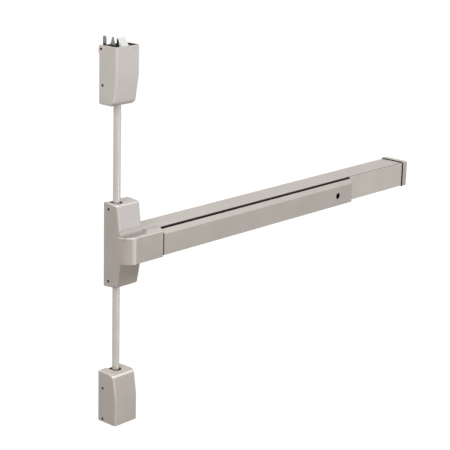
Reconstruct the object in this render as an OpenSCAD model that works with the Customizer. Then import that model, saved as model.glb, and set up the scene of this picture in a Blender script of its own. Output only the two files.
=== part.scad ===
/* [Centre case] */
// Width of the centre case
case_w = 72; // [70:0.1:80]
// Height of the centre case
case_h = 195; // [180:1:240]
// Depth of the centre case cover at its top edge, from the door
case_top_d = 44.4; // [41.5:0.1:49]
// Depth of the cover's front where its upper slope ends
case_ledge_d = 52; // [50:0.1:56]
// Depth of the cover's front under the rail head
case_recess_d = 51.5; // [48:0.1:58]
// Depth of the centre case cover at its bottom edge
case_foot_d = 41.2; // [40.5:0.1:48]
// Wall of the centre case cover
case_wall = 2.6; // [2:0.1:3]
// Radius of the cover's front edges
case_edge_r = 6; // [4:0.1:7]
// Clear space beside a rod where it passes a cover
notch_gap = 3.5; // [2:0.1:4]
// Distance of the notches' round end from the door
notch_d = 24.7; // [24:0.1:26]
/* [Rail head] */
// Right end of the rail head, from the centre of the case
head_right = 75.65; // [73:0.05:78]
// How far the rail head's front stands out past the touch bar
head_proud = 0.5; // [0:0.1:3]
// Height of the rail head's top above the rail's centre line
head_top = 33.2; // [33:0.1:36]
// Drop of the rail head's underside below the rail's centre line
head_drop = 35.8; // [35:0.1:38]
// Plan radius of the rail head's left front corner
head_corner_r = 30; // [22:0.5:34]
// Height of the ledge in front of the case above the rail's centre line
ledge_z = 26; // [24:0.1:28]
// Radius of the rim round the ledge
rim_r = 2.6; // [1.5:0.1:3.5]
// Radius of the hollow between the case's upper slope and the ledge
fillet_r = 15; // [10:0.5:18]
/* [Mounting plates] */
// Thickness of the plates that lie on the door
plate_t = 3; // [2.5:0.1:3.5]
// Diameter of the screw holes in the mounting plates
mount_hole = 6.6; // [5.5:0.1:7]
// Spacing of the centre plate's holes across
centre_mount_w = 48; // [46:0.5:50]
// Spacing of the centre plate's holes up and down
centre_mount_h = 140; // [136:1:142]
// Spacing of the latch plates' holes across
latch_mount_w = 54; // [52:0.5:55]
// Spacing of the top latch plate's holes up and down
top_mount_h = 40; // [36:1:42]
// Spacing of the bottom latch plate's holes up and down
bottom_mount_h = 56; // [50:1:60]
// Spacing of the end bracket's holes up and down
end_mount_h = 36; // [30:1:40]
/* [Rods] */
// Diameter of the rods
rod_dia = 17; // [15:0.1:17.4]
// Offset of the rods from the centre of the case
rod_x = -15.85; // [-16.35:0.05:-15.35]
// Distance of the rods' centre line from the door
rod_d = 22.6; // [22.2:0.1:24]
// Height of the top latch case's lower edge above the rail's centre line
top_case_z = 320.5; // [300:0.5:1100]
// Drop of the bottom latch case's upper edge below the rail's centre line
bottom_case_z = 299; // [280:0.5:900]
/* [Top latch] */
// Width of the top latch case
top_w = 71.6; // [70:0.1:76]
// Height of the top latch case
top_h = 131.9; // [131.5:0.1:140]
// Depth of the top latch case, from the door
top_d = 56; // [55:0.1:60]
// Depth of the top latch case at its rod end
top_foot_d = 47; // [45:0.1:51]
// Height of the straight upper part of the top latch case
top_straight = 66; // [60:1:72]
// Wall of the latch case covers
latch_wall = 2.5; // [2:0.1:2.6]
// Rise of the latch bolt above its pivot
bolt_rise = 38; // [36:0.5:39]
// Width of the latch bolt
bolt_w = 22; // [18:0.1:24]
// Height of the frame's prongs above the case
prong_rise = 19; // [14:0.5:22]
// Radius of the arm that lifts the latch bolt
tail_r = 18; // [17.5:0.1:18.5]
/* [Bottom latch] */
// Width of the bottom latch case
bottom_w = 71; // [70:0.1:76]
// Height of the bottom latch case
bottom_h = 122.8; // [121:0.1:130]
// Depth of the bottom latch case, from the door
bottom_d = 58.1; // [56:0.1:60]
// Depth of the bottom latch case at its rod end
bottom_top_d = 50.5; // [48:0.1:54]
// Height of the straight lower part of the bottom latch case
bottom_straight = 64; // [58:1:68]
// Diameter of the bottom bolt
bottom_bolt_dia = 18; // [16:0.1:19]
// How far the bottom bolt stands below its case
bottom_bolt_out = 12; // [8:0.1:14]
/* [Rail] */
// Height of the rail
rail_h = 63; // [62:0.1:63.4]
// Depth of the rail's lips, from the door
rail_d = 67.8; // [67:0.1:68]
// Wall of the rail
rail_wall = 2.4; // [2:0.1:2.4]
// Right end of the rail, from the centre of the case
rail_right = 1011.65; // [900:0.05:1200]
// How far the fixed end cover's front stands out of the rail
filler_proud = 2.2; // [1.8:0.1:4]
// Length of the end cap
cap_len = 19.6; // [15:0.1:25]
// Dark gap between the rail's end and its cap
cap_gap = 2.1; // [1.5:0.1:3]
// How far the end cap stands proud of the rail
cap_proud = 2.6; // [1.5:0.1:3]
/* [Touch bar] */
// Left end of the touch bar, from the centre of the case
bar_left = 79.85; // [78.5:0.05:88]
// Right end of the touch bar, from the centre of the case
bar_right = 778.35; // [768:0.05:830]
// How far the touch bar's front stands out of the rail
bar_proud = 12.2; // [12:0.1:13.2]
// Wall of the touch bar
bar_wall = 2; // [1.6:0.1:2.2]
// Height of the touch bar's top bevel
bar_bevel = 9.5; // [6:0.1:10.5]
// Radius of the edge between the bevel and the front
bar_edge_r = 3; // [1:0.1:5]
// Height of the dark slot between the rail and the touch bar's top
bar_slot = 2.8; // [1.5:0.1:3.2]
// Travel of the touch bar
bar_travel = 12; // [10:0.1:12]
// Diameter of the key hole in the touch bar
key_hole = 15.6; // [13:0.1:17]
// Distance of the key hole from the touch bar's right end
key_inset = 58.4; // [38:0.1:75]
// Drop of the key hole below the rail's centre line
key_drop = 7.6; // [6:0.1:9]
/* [Linkage] */
// Place of the near bell crank's pivot along the rail
near_crank_x = 160; // [140:1:200]
// Place of the far bell crank's pivot along the rail
far_crank_x = 640; // [600:1:660]
// Distance of the cranks' pivots from the door
crank_d = 36; // [35.5:0.1:36.5]
// Length of the cranks' driven arm
crank_in = 24.8; // [24:0.1:26]
// Length of the cranks' driving arm
crank_out = 20.67; // [20:0.01:21]
// Height of the lift levers' pivots above and below the centre line
lever_z = 32; // [31:0.1:33]
// Length of the lift levers' driven arm
lever_in = 24; // [23.5:0.1:24.5]
// Length of the lift levers' lifting arm
lever_out = 24.48; // [24:0.01:25]
// Diameter of the pivots
pivot_dia = 8; // [7:0.1:9]
// Diameter of the drive pins
drive_pin_dia = 6; // [5:0.1:6.4]
/* [Hidden] */
$fn = 64;
eps = 0.01;
soft_fn = 32;
// Clearances
run_gap = 0.05;     // a shaft in its bore
seat_gap = 0.02;    // a shank or rod end in its socket
slot_gap = 0.1;     // a drive pin in its slot
slide_gap = 0.4;    // plates that pass each other
part_gap = 0.3;     // pieces that lie side by side
// Rods and pins
rod_r = rod_dia / 2;
notch_r = rod_r + notch_gap;
pivot_r = pivot_dia / 2;
drive_r = drive_pin_dia / 2;
// Centre case
case_x = case_w / 2;
case_z = case_h / 2;
case_in_x = case_x - case_wall;
base_x = case_in_x - part_gap;
base_z = case_z - case_wall - part_gap;
recess_z = -head_drop - 4.7;
head_ramp = 10;
fillet_inset = 1;
cover_screw_r = 3.3;
// Rail and touch bar
rail_z = rail_h / 2;
rail_in_z = rail_z - rail_wall;
rail_floor = plate_t + rail_wall;
rail_left = case_x + 3.2;
tongue_len = 34;
rail_screw_x = rail_left + 18;
rail_screw_z = rail_z * 0.6;
rail_foot_lip = rail_d - 2.3;
lip_chamfer = 1.4;
bar_d = rail_d + bar_proud;
head_d = bar_d + head_proud;
filler_d = rail_d + filler_proud;
key_x = bar_right - key_inset;
bar_rear = bar_d - 28;
filler_wall = 2.2;
filler_chamfer = 0.8;
cap_edge_r = 5;
cap_tongue = 12;
cap_back = 0.4;
bar_top = rail_in_z - bar_slot;
bar_low = rail_in_z - slide_gap;
bar_leg_t = 1.8;
bar_web = bar_d - bar_wall;
bar_skirt = 1.6;
bar_skirt_top = rail_z + part_gap;
bar_skirt_d = bar_d - 22;
bar_shoulder = bar_d - 10.5;
bar_bevel_z = bar_top - bar_bevel;
pad_z = bar_bevel_z - bar_wall * 0.5;
plug_gap = 0.4;
plug_t = 4;
// Cranks: half of their swing, and where their pins stand at rest
crank_half = asin(bar_travel / 2 / crank_in);
crank_in_x = crank_in * cos(crank_half);
crank_out_d = crank_out * cos(crank_half);
link_travel = 2 * crank_out * sin(crank_half);
crank_pin_d = crank_d + bar_travel / 2;
crank_slot = (crank_in - crank_in_x) / 2;
link_slot = (crank_out - crank_out_d) / 2;
crank_t = 4;
ear_t = 3;
link_t = 3;
link_top = -crank_t / 2 - 0.6;
link_w = 14;
link_mid_d = crank_d - (crank_out + crank_out_d) / 2;
crank_hub_r = pivot_r + 3;
bracket_gap = 16;
bracket_t = 3;
bracket_base_d = rail_floor + 2.8;
spring_x = 22;
spring_z = 9;
spring_seat = 48;
spring_post_r = 4.8;
spring_pilot_r = 2.6;
spring_pilot_len = 14;
bar_coil_r = 4.1;
bar_wire_r = 0.6;
bolt_coil_gap = 1.7;
bolt_wire_r = 0.7;
spring_turns = 8;
end_bracket_x = rail_right - 24;
// Dogging screw and the plate that it turns in
dog_plate_d = 31;
dog_r = 5;
dog_rear = 24;
dog_front = bar_d - 18;
dog_head_t = 6;
dog_key_r = 2.9;
// Lift levers
lever_half = asin(link_travel / 2 / lever_in);
lever_x = rod_x + lever_out * (1 + cos(lever_half)) / 2;
lever_in_z = lever_in * cos(lever_half);
lever_out_x = lever_out * cos(lever_half);
lever_rise = lever_out * sin(lever_half);
lever_slot = lever_in - lever_in_z;
lift_slot = lever_out - lever_out_x;
head_plate_d = 12;
lever_d = head_plate_d + link_t + slide_gap;
lever_t = 3;
slide_d = lever_d + lever_t + 0.6;
slide_t = 3;
link_pin_z = lever_z - (lever_in + lever_in_z) / 2;
// Rod connectors
collar_r = rod_r + 3;
guide_z = case_z - 9.5;
guide_t = 3;
bush_r = rod_r + 2;
flange_w = 1.5;
flange_t = 1.2;
guide_half = bush_r + flange_w + 1;
guide_front = rod_d + bush_r + 1.5;
guide_foot = 8;
guide_foot_t = 2.5;
socket_len = 18;
socket_room = 10;
socket_z = guide_z - socket_room - socket_len;
// Top latch
top_x0 = rod_x - top_w / 2;
top_x1 = rod_x + top_w / 2;
top_z = top_case_z + top_h;
top_base_x = top_w / 2 - latch_wall - part_gap;
latch_pivot_d = 13;
latch_pivot_drop = 22.4;
latch_pivot_z = top_z - latch_pivot_drop;
latch_half = asin(lever_rise / tail_r);
tail_d = latch_pivot_d + tail_r * cos(latch_half);
tail_z = latch_pivot_z + tail_r * sin(latch_half);
tail_slot = tail_r * (1 - cos(latch_half));
frame_x = 22.3;
frame_t = 3;
bolt_back = 31;
bolt_flat = 2;
bolt_front = 46;
bolt_slope = 17;
lift_x = bolt_w / 2 + 1.2;
lift_t = 3;
lift_front = tail_d + tail_slot + drive_r + 2.6;
frame_drop = 34;
frame_low = latch_pivot_z - frame_drop;
frame_top = top_z - 2.4;
frame_front = 41;
prong_root = 24;
prong_tip = 34;
prong_flat = 2;
latch_round_r = 14;
latch_edge_r = 6;
edge_share = 1 - cos(45);
ear_r = 8;
ear_len = 6;
top_socket_drop = 42;
top_socket_z = latch_pivot_z - top_socket_drop;
top_guide_z = top_case_z + 10;
// Bottom latch
bottom_x0 = rod_x - bottom_w / 2;
bottom_x1 = rod_x + bottom_w / 2;
bottom_top_z = -bottom_case_z;
bottom_z = bottom_top_z - bottom_h;
bottom_base_x = bottom_w / 2 - latch_wall - part_gap;
bottom_socket_drop = 73;
bottom_socket_z = bottom_top_z - bottom_socket_drop;
bottom_mount_drop = 62;
bottom_guide_drop = 16;
bottom_guide_z = bottom_top_z - bottom_guide_drop;
bottom_shelf_half = 24;
bottom_shelf_reach = 22;
bottom_shelf_front = rod_d + bottom_shelf_reach;
bottom_shelf_t = 4;
bottom_round_r = 13;
bottom_cut = 10;
bottom_shelf_z = bottom_z + latch_wall;
// Cover screws: distance from the door and height, set in from the covers' ends
ear_screw_drop = 8.8;
top_screw_rise = 44.1;
bottom_screw_drop = 40.5;
bottom_screw_rise = 7.3;
centre_screw_inset = 13.8;
top_screws = [[8.2, top_z - ear_screw_drop], [13.4, top_case_z + top_screw_rise]];
bottom_screws = [[16.8, bottom_top_z - bottom_screw_drop], [16.8, bottom_z + bottom_screw_rise]];
centre_screws = [[17.8, -case_z + centre_screw_inset], [17.8, case_z - centre_screw_inset]];
tab_r = 6;
tab_t = 2.5;
silver = [0.72, 0.70, 0.67];
zinc = [0.62, 0.63, 0.64];
steel = [0.50, 0.51, 0.53];

// Block between two X places, two depths from the door and two heights
module block(x0, x1, d0, d1, z0, z1) { translate([x0, -d1, z0]) cube([x1 - x0, d1 - d0, z1 - z0]); }

// Round bar pointing out of the door
module bar_y(x, z, d0, d1, r) { translate([x, -d0, z]) rotate([90, 0, 0]) cylinder(h = d1 - d0, r = r); }

// Round bar along the rail
module bar_x(d, z, x0, x1, r) { translate([x0, -d, z]) rotate([0, 90, 0]) cylinder(h = x1 - x0, r = r); }

// Upright round bar
module bar_z(x, d, z0, z1, r) { translate([x, -d, z0]) cylinder(h = z1 - z0, r = r); }

// Outline of depths and heights, extruded along the rail
module along_x(x0, x1) { translate([x0, 0, 0]) rotate([90, 0, 90]) linear_extrude(x1 - x0) children(); }

// Outline of X places and heights, extruded between two depths
module along_y(d0, d1) { translate([0, -d0, 0]) rotate([90, 0, 0]) linear_extrude(d1 - d0) children(); }

// Flat arm with round ends between two points
module arm(p, q, r) {
    span = norm(q - p);
    translate(p) circle(r);
    translate(q) circle(r);
    translate(p) rotate(atan2(q[1] - p[1], q[0] - p[0])) translate([0, -r]) square([span, 2 * r]);
}

// Slot of radius r, stretched by half_len each way along the first axis
module slot(p, half_len, r) { arm(p - [half_len, 0], p + [half_len, 0], r); }

// Slot that runs up and down
module slot_up(p, half_len, r) { arm(p - [0, half_len], p + [0, half_len], r); }

// Coil spring standing on the origin, drawn along +Z
module coil_spring(len, coil_r, wire_r, turns, per_turn = 10, sides = 6) {
    rings = turns * per_turn;
    rise = (len - 2 * wire_r) / rings;
    points = [for (i = [0:rings]) for (k = [0:sides - 1])
        let (a = 360 * i / per_turn, b = 360 * k / sides, r = coil_r + wire_r * cos(b))
        [r * cos(a), r * sin(a), wire_r + rise * i + wire_r * sin(b)]];
    sheath = [for (i = [0:rings - 1]) for (k = [0:sides - 1]) for (half = [0, 1])
        let (m = i * sides, n = (k + 1) % sides)
        half == 0 ? [m + k, m + sides + k, m + n] : [m + n, m + sides + k, m + sides + n]];
    start = [for (k = [1:sides - 2]) [0, k, k + 1]];
    last = rings * sides;
    end = [for (k = [1:sides - 2]) [last, last + k + 1, last + k]];
    polyhedron(points = points, faces = concat(sheath, start, end), convexity = 10);
}

// Button head screw with a hex socket, driven along +X from the outside on the left
module side_screw(d, z, x_out) {
    difference() {
        union() {
            bar_x(d, z, x_out + 0.7, x_out + 2.8, cover_screw_r - 0.2);
            bar_x(d, z, x_out + 2.8 - eps, x_out + 8.4, 2);
        }
        translate([x_out, -d, z]) rotate([0, 90, 0]) cylinder(h = 2, r = 1.6, $fn = 6);
    }
}

// Both sides of a latch or centre case
module both_sides(mid) {
    children();
    translate([2 * mid, 0, 0]) mirror([1, 0, 0]) children();
}

// Holes of a cover's side screws
module screw_bores(list, x0, x1) { for (s = list) bar_x(s[0], s[1], x0 - 1, x1 + 1, cover_screw_r); }

// Tabs that stand up from a plate and take a cover's side screws
module screw_tabs(list, half, mid) {
    both_sides(mid) for (s = list) difference() {
        union() {
            bar_x(s[0], s[1], mid - half, mid - half + tab_t, tab_r - 2);
            block(mid - half, mid - half + tab_t, plate_t - eps, s[0], s[1] - tab_r + 2, s[1] + tab_r - 2);
        }
        bar_x(s[0], s[1], mid - half - 1, mid - half + tab_t + 1, 2 + run_gap);
    }
}

// Notch of a cover's end wall, round the rod and open towards the door
module rod_notch(z0, z1) {
    bar_z(rod_x, notch_d, z0, z1, notch_r);
    block(rod_x - notch_r, rod_x + notch_r, 0, notch_d, z0, z1);
}

// Shelf that guides a rod, with its foot on the plate; the foot points down for side = -1
module rod_shelf(z, side) {
    difference() {
        union() {
            block(rod_x - guide_half, rod_x + guide_half, plate_t, guide_front, z, z + guide_t);
            block(rod_x - guide_half, rod_x + guide_half, plate_t, plate_t + guide_foot_t,
                  side < 0 ? z - guide_foot : z, side < 0 ? z + guide_t : z + guide_t + guide_foot);
        }
        bar_z(rod_x, rod_d, z - 1, z + guide_t + 1, bush_r + seat_gap);
    }
}

// Flanged bush of the rod shelf whose lower face is at z; the flange lies above it for side = 1
module bush(z, side) {
    bore = rod_r + run_gap;
    translate([rod_x, -rod_d, side > 0 ? z : z + guide_t]) mirror([0, 0, side > 0 ? 0 : 1]) rotate_extrude()
        polygon([[bore, 0], [bush_r, 0], [bush_r, guide_t], [bush_r + flange_w, guide_t],
                 [bush_r + flange_w, guide_t + flange_t], [bore, guide_t + flange_t]]);
}

// Holes in a rectangle, through a plate on the door
module plate_holes(x_mid, z_mid, w, h) {
    for (sx = w > 0 ? [-1, 1] : [0]) for (sz = [-1, 1])
        bar_y(x_mid + sx * w / 2, z_mid + sz * h / 2, -1, plate_t + 20, mount_hole / 2);
}

// Body of the centre case cover, drawn in by a wall thickness
module case_body(wall) {
    x = case_x - wall;
    r = max(case_edge_r - wall, 1);
    top = case_z - wall;
    fronts = [[case_top_d, top - r], [case_ledge_d, head_top], [case_recess_d, recess_z],
              [case_foot_d, -top + r]];
    hull() {
        for (p = fronts) for (s = [-1, 1])
            translate([s * (x - r), -(p[0] - wall - r), p[1]]) sphere(r, $fn = soft_fn);
        block(-x, x, wall > 0 ? plate_t - 1 : plate_t, plate_t + 6, -top, top);
    }
}

// Outline of the rail head seen from above, with its round left front corner
module head_outline(inset, right) {
    left = -case_x + inset;
    front = head_d - inset;
    r = head_corner_r - inset;
    hull() {
        translate([left + r, -(front - r)]) circle(r, $fn = 96);
        translate([left, -(front - r)]) square([right - left, front - r - plate_t]);
        translate([left + r, -front]) square([right - left - r, r]);
    }
}

// Rail head under the ledge, with a soft rim round its top
module head_body() {
    r = head_corner_r;
    hull() {
        translate([0, 0, -head_drop]) linear_extrude(head_drop + ledge_z - rim_r) head_outline(0, head_right);
        translate([-case_x + r, -(head_d - r), ledge_z - rim_r])
            rotate_extrude($fn = 96) translate([r - rim_r, 0]) circle(rim_r, $fn = 24);
        bar_x(head_d - rim_r, ledge_z - rim_r, -case_x + r, head_right, rim_r, $fn = 24);
        block(-case_x + rim_r, head_right, plate_t, head_d - r, ledge_z - 1, ledge_z);
        block(-case_x, head_right, plate_t, head_d - r, ledge_z - rim_r - 1, ledge_z - rim_r);
    }
}

// Rise of the rail head from its ledge to the top of the rail
module head_rise() {
    hull() {
        block(case_x - head_ramp, head_right, plate_t, head_d - rim_r, ledge_z - 1, ledge_z - eps);
        block(case_x - 1, head_right, plate_t, rail_d + 1.6, head_top - 1, head_top);
    }
}

// Room inside the rail head, open towards the door and the rail
module head_room() {
    translate([0, 0, -head_drop + case_wall]) linear_extrude(head_drop + ledge_z - 2 * case_wall)
        head_outline(case_wall, head_right + 1);
    block(-case_x + case_wall, head_right + 1, plate_t - 1, plate_t + 1, -head_drop + case_wall,
          ledge_z - case_wall);
    block(rail_left - slide_gap, head_right + 1, plate_t - 1, rail_d + slide_gap, 0, rail_z + part_gap);
}

// Hollow that blends the case's upper slope into the ledge; its arc touches both
module case_fillet() {
    lean = atan2(case_ledge_d - case_top_d, case_z - case_edge_r - head_top);
    mid_z = ledge_z + fillet_r;
    mid_d = case_ledge_d + fillet_r / cos(lean) - (mid_z - head_top) * tan(lean);
    touch = [-mid_d + fillet_r * cos(lean), mid_z - fillet_r * sin(lean)];
    intersection() {
        along_x(-case_x, case_x) difference() {
            polygon([[-case_ledge_d + 6, ledge_z - 1], [-mid_d, ledge_z - 1], [-mid_d, ledge_z], touch,
                     [touch[0] + 3, touch[1]]]);
            translate([-mid_d, mid_z]) circle(fillet_r, $fn = 96);
        }
        linear_extrude(case_z) head_outline(fillet_inset, head_right);
    }
}

module centre_cover() {
    color(silver) difference() {
        union() {
            case_body(0);
            head_body();
            head_rise();
            case_fillet();
        }
        case_body(case_wall);
        head_room();
        for (z = [case_z - case_wall - 1, -case_z - 1]) rod_notch(z, z + case_wall + 2);
        screw_bores(centre_screws, -case_x, case_x);
    }
}

module centre_base() {
    color(zinc) {
        difference() {
            union() {
                block(-base_x, base_x, 0, plate_t, -base_z, base_z);
                block(base_x - eps, rail_left + tongue_len, 0, plate_t, -rail_z + 3, rail_z - 3);
            }
            plate_holes(0, 0, centre_mount_w, centre_mount_h);
            for (s = [-1, 1]) bar_y(lever_x, s * lever_z, -1, plate_t + 1, pivot_r - 1 + seat_gap);
            for (s = [-1, 1]) bar_y(rail_screw_x, s * rail_screw_z, -1, plate_t + 1, 2.5);
        }
        screw_tabs(centre_screws, base_x, 0);
    }
}

module centre_cover_screws() {
    color(steel) both_sides(0) for (s = centre_screws) side_screw(s[0], s[1], -case_x);
}

module lever_posts() {
    color(steel) for (s = [-1, 1]) {
        bar_y(lever_x, s * lever_z, 0.3, plate_t + eps, pivot_r - 1);
        bar_y(lever_x, s * lever_z, plate_t, slide_d + slide_t, pivot_r);
        bar_y(lever_x, s * lever_z, slide_d + slide_t - eps, slide_d + slide_t + 1.4, pivot_r + 2);
    }
}

module upper_guide() { color(zinc) rod_shelf(guide_z, -1); }

module lower_guide() { color(zinc) rod_shelf(-guide_z - guide_t, 1); }

module guide_bushes() {
    color([0.85, 0.84, 0.80]) {
        bush(guide_z, 1);
        bush(-guide_z - guide_t, -1);
        bush(top_guide_z, 1);
        bush(bottom_guide_z, 1);
    }
}

module rail_channel() {
    color(silver) difference() {
        along_x(rail_left, rail_right) polygon([
            [-plate_t, -rail_z], [-rail_foot_lip, -rail_z], [-rail_foot_lip, -rail_in_z],
            [-rail_floor, -rail_in_z], [-rail_floor, rail_in_z], [-rail_d, rail_in_z],
            [-rail_d, rail_z - lip_chamfer], [-rail_d + lip_chamfer, rail_z], [-plate_t, rail_z]]);
        for (s = [-1, 1]) bar_y(rail_screw_x, s * rail_screw_z, 0, rail_floor + 1, 2.6);
        plate_holes(end_bracket_x, 0, 0, end_mount_h);
    }
}

module rail_screws() {
    color(steel) for (s = [-1, 1]) difference() {
        union() {
            bar_y(rail_screw_x, s * rail_screw_z, 0.5, rail_floor + eps, 2.45);
            bar_y(rail_screw_x, s * rail_screw_z, rail_floor, rail_floor + 2.6, 4.4);
        }
        bar_y(rail_screw_x, s * rail_screw_z, rail_floor + 1, rail_floor + 3, 1.5, $fn = 6);
    }
}

// Bracket that carries a bell crank's pivot and a return spring's seat
module crank_bracket(x) {
    color(zinc) difference() {
        union() {
            block(x - 14, x + spring_x + 8, rail_floor, bracket_base_d, -22, 22);
            for (z = [-bracket_gap / 2 - bracket_t, bracket_gap / 2]) {
                block(x - 9, x + 9, bracket_base_d - eps, crank_d, z, z + bracket_t);
                bar_z(x, crank_d, z, z + bracket_t, 9);
            }
            bar_y(x + spring_x, spring_z, bracket_base_d - eps, spring_seat, spring_post_r);
            bar_y(x + spring_x, spring_z, spring_seat - eps, spring_seat + spring_pilot_len, spring_pilot_r);
        }
        bar_z(x, crank_d, -bracket_gap, bracket_gap, pivot_r + seat_gap);
    }
}

module near_crank_bracket() { crank_bracket(near_crank_x); }

module far_crank_bracket() { crank_bracket(far_crank_x); }

module crank_pins() {
    half = bracket_gap / 2 + bracket_t;
    color(steel) for (x = [near_crank_x, far_crank_x]) {
        bar_z(x, crank_d, -half - 1.5, half, pivot_r);
        bar_z(x, crank_d, half, half + 1.5, pivot_r + 1.5);
    }
}

module end_filler() {
    color(silver) along_x(bar_right + 1.5, rail_right) polygon([
        [-filler_d, -rail_z], [-filler_d, rail_z - filler_chamfer], [-filler_d + filler_chamfer, rail_z],
        [-rail_d - seat_gap, rail_z], [-rail_d - seat_gap, bar_low], [-bar_rear, bar_low],
        [-bar_rear, bar_low - bar_leg_t], [-filler_d + filler_wall, bar_low - bar_leg_t],
        [-filler_d + filler_wall, -bar_low + bar_leg_t], [-bar_rear, -bar_low + bar_leg_t],
        [-bar_rear, -bar_low],
        [-rail_foot_lip - seat_gap, -bar_low], [-rail_foot_lip - seat_gap, -rail_z]]);
}

module end_cap() {
    x0 = rail_right + cap_gap;
    x1 = x0 + cap_len;
    z = rail_z + cap_proud;
    d1 = filler_d + cap_proud;
    r = cap_edge_r;
    end_r = r - 1;
    color(silver) {
        hull() {
            for (k = [[0, end_r], [end_r * edge_share, end_r * edge_share], [end_r, 0]]) {
                for (s = [-1, 1]) bar_x(d1 - r, s * (z - r), x0, x1 - k[0], r - k[1], $fn = soft_fn);
                block(x0, x1 - k[0], cap_back, cap_back + r, k[1] - z, z - k[1]);
            }
        }
        block(rail_right - cap_tongue, x0 + eps, rail_floor + part_gap, bar_rear - 1, -rail_in_z + part_gap,
              rail_in_z - part_gap);
    }
}

module end_bracket() {
    color(zinc) difference() {
        block(end_bracket_x - 14, end_bracket_x + 14, 0, plate_t, -27, 27);
        plate_holes(end_bracket_x, 0, 0, end_mount_h);
    }
}

module dogging_bracket() {
    arms = [-key_drop - 19.4, 8];
    half = 9;
    front = dog_plate_d + bracket_t;
    color(zinc) difference() {
        union() {
            block(key_x - 14, key_x + 14, rail_floor, bracket_base_d, arms[0], arms[1] + bracket_t);
            for (z = arms)
                block(key_x - half, key_x + half, bracket_base_d - eps, front, z, z + bracket_t);
            block(key_x - half, key_x + half, dog_plate_d, front, arms[0], arms[1] + bracket_t);
        }
        bar_y(key_x, -key_drop, dog_plate_d - 1, front + 1, dog_r + run_gap);
    }
}

// Cover of a latch case: a closed end with a soft front edge, its taper, and an open straight end
module latch_shell(x0, x1, z_closed, z_open, z_taper, d_open, d_closed, wall, round_r) {
    out = z_open > z_closed ? 1 : -1;
    r = latch_edge_r - wall;
    soft = round_r - wall;
    left = x0 + wall;
    right = x1 - wall;
    end = z_closed + out * wall;
    open = wall > 0 ? z_open + out : z_open;
    back = wall > 0 ? plate_t - 1 : plate_t;
    round_d = d_closed - wall - soft;
    hull() {
        for (x = [left + r, right - r])
            bar_z(x, d_open - wall - r, min(z_taper, open), max(z_taper, open), r, $fn = soft_fn);
        block(left, right, back, d_open - wall - r, min(z_taper, open), max(z_taper, open));
        for (k = [[0, r], [r * edge_share, r * edge_share], [r, 0]]) {
            bar_x(round_d, end + out * soft, left + k[0], right - k[0], soft - k[1], $fn = 48);
            block(left + k[0], right - k[0], back, round_d, min(end + out * k[1], end + out * soft),
                  max(end + out * k[1], end + out * soft));
        }
    }
}

module top_cover() {
    z_taper = top_z - top_straight;
    ear = top_screws[0];
    color(silver) difference() {
        union() {
            latch_shell(top_x0, top_x1, top_case_z, top_z, z_taper, top_d, top_foot_d, 0, latch_round_r);
            for (x = [top_x0, top_x1 - latch_wall])
                along_x(x, x + latch_wall) arm([-ear[0], ear[1]], [-ear[0], ear[1] - ear_len], ear_r);
        }
        latch_shell(top_x0, top_x1, top_case_z, top_z, z_taper, top_d, top_foot_d, latch_wall, latch_round_r);
        rod_notch(top_case_z - 1, top_case_z + latch_wall + 1);
        screw_bores(top_screws, top_x0, top_x1);
    }
}

// Side plate of the top latch frame; the left one has the two prongs that stand above the case
module frame_plate(x, prongs) {
    prong = top_z + prong_rise;
    tip_r = 4;
    along_x(x, x + frame_t) difference() {
        union() {
            polygon([[-plate_t + eps, frame_low], [-frame_front, frame_low], [-frame_front, frame_top],
                     [-plate_t + eps, frame_top]]);
            if (prongs) {
                polygon([[-plate_t + eps, frame_top - 1], [-plate_t - 2 * tip_r, frame_top - 1],
                         [-plate_t - 2 * tip_r, prong - tip_r], [-plate_t, prong - tip_r]]);
                translate([-plate_t - tip_r, prong - tip_r]) circle(tip_r);
                polygon([[-prong_root, frame_top - 1], [-frame_front, frame_top - 1], [-prong_tip, prong],
                         [-prong_tip + prong_flat, prong]]);
            }
        }
        translate([-latch_pivot_d, latch_pivot_z]) circle(pivot_r + seat_gap);
    }
}

module top_base() {
    mid = (top_case_z + latch_wall + part_gap + frame_low) / 2;
    color(zinc) {
        difference() {
            block(rod_x - top_base_x, rod_x + top_base_x, 0, plate_t, top_case_z + latch_wall + part_gap,
                  frame_top);
            plate_holes(rod_x, mid, latch_mount_w, top_mount_h);
        }
        frame_plate(rod_x - frame_x - frame_t, true);
        frame_plate(rod_x + frame_x, false);
        screw_tabs(top_screws, top_base_x, rod_x);
        rod_shelf(top_guide_z, 1);
    }
}

module top_cover_screws() {
    color(steel) both_sides(rod_x) for (s = top_screws) side_screw(s[0], s[1], top_x0);
}

module latch_pivot_pin() {
    half = frame_x + frame_t;
    color(steel) {
        bar_x(latch_pivot_d, latch_pivot_z, rod_x - half - 1.6, rod_x + half, pivot_r);
        bar_x(latch_pivot_d, latch_pivot_z, rod_x + half, rod_x + half + 1.6, pivot_r + 1.5);
    }
}

// Wedge bolt that swings down on the latch pivot
module latch_bolt() {
    nose = latch_pivot_z + bolt_rise;
    color([0.86, 0.86, 0.85]) difference() {
        union() {
            along_x(rod_x - bolt_w / 2, rod_x + bolt_w / 2) {
                polygon([[-bolt_back, nose - 19], [-bolt_back, nose], [-bolt_back - bolt_flat, nose],
                         [-bolt_front, nose - bolt_slope], [-bolt_front, nose - bolt_slope - 7],
                         [-tail_d - 2, tail_z - 5.6], [-latch_pivot_d, latch_pivot_z - 8],
                         [-latch_pivot_d, latch_pivot_z + 8]]);
                translate([-tail_d, tail_z]) circle(drive_r + 3);
            }
            bar_x(latch_pivot_d, latch_pivot_z, rod_x - frame_x + part_gap, rod_x + frame_x - part_gap, 8);
        }
        bar_x(latch_pivot_d, latch_pivot_z, rod_x - frame_x, rod_x + frame_x, pivot_r + run_gap);
        bar_x(tail_d, tail_z, rod_x - frame_x, rod_x + frame_x, drive_r + seat_gap);
    }
}

module latch_lift_pin() {
    half = lift_x + lift_t + 1.6;
    color(steel) bar_x(tail_d, tail_z, rod_x - half, rod_x + half, drive_r);
}

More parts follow.
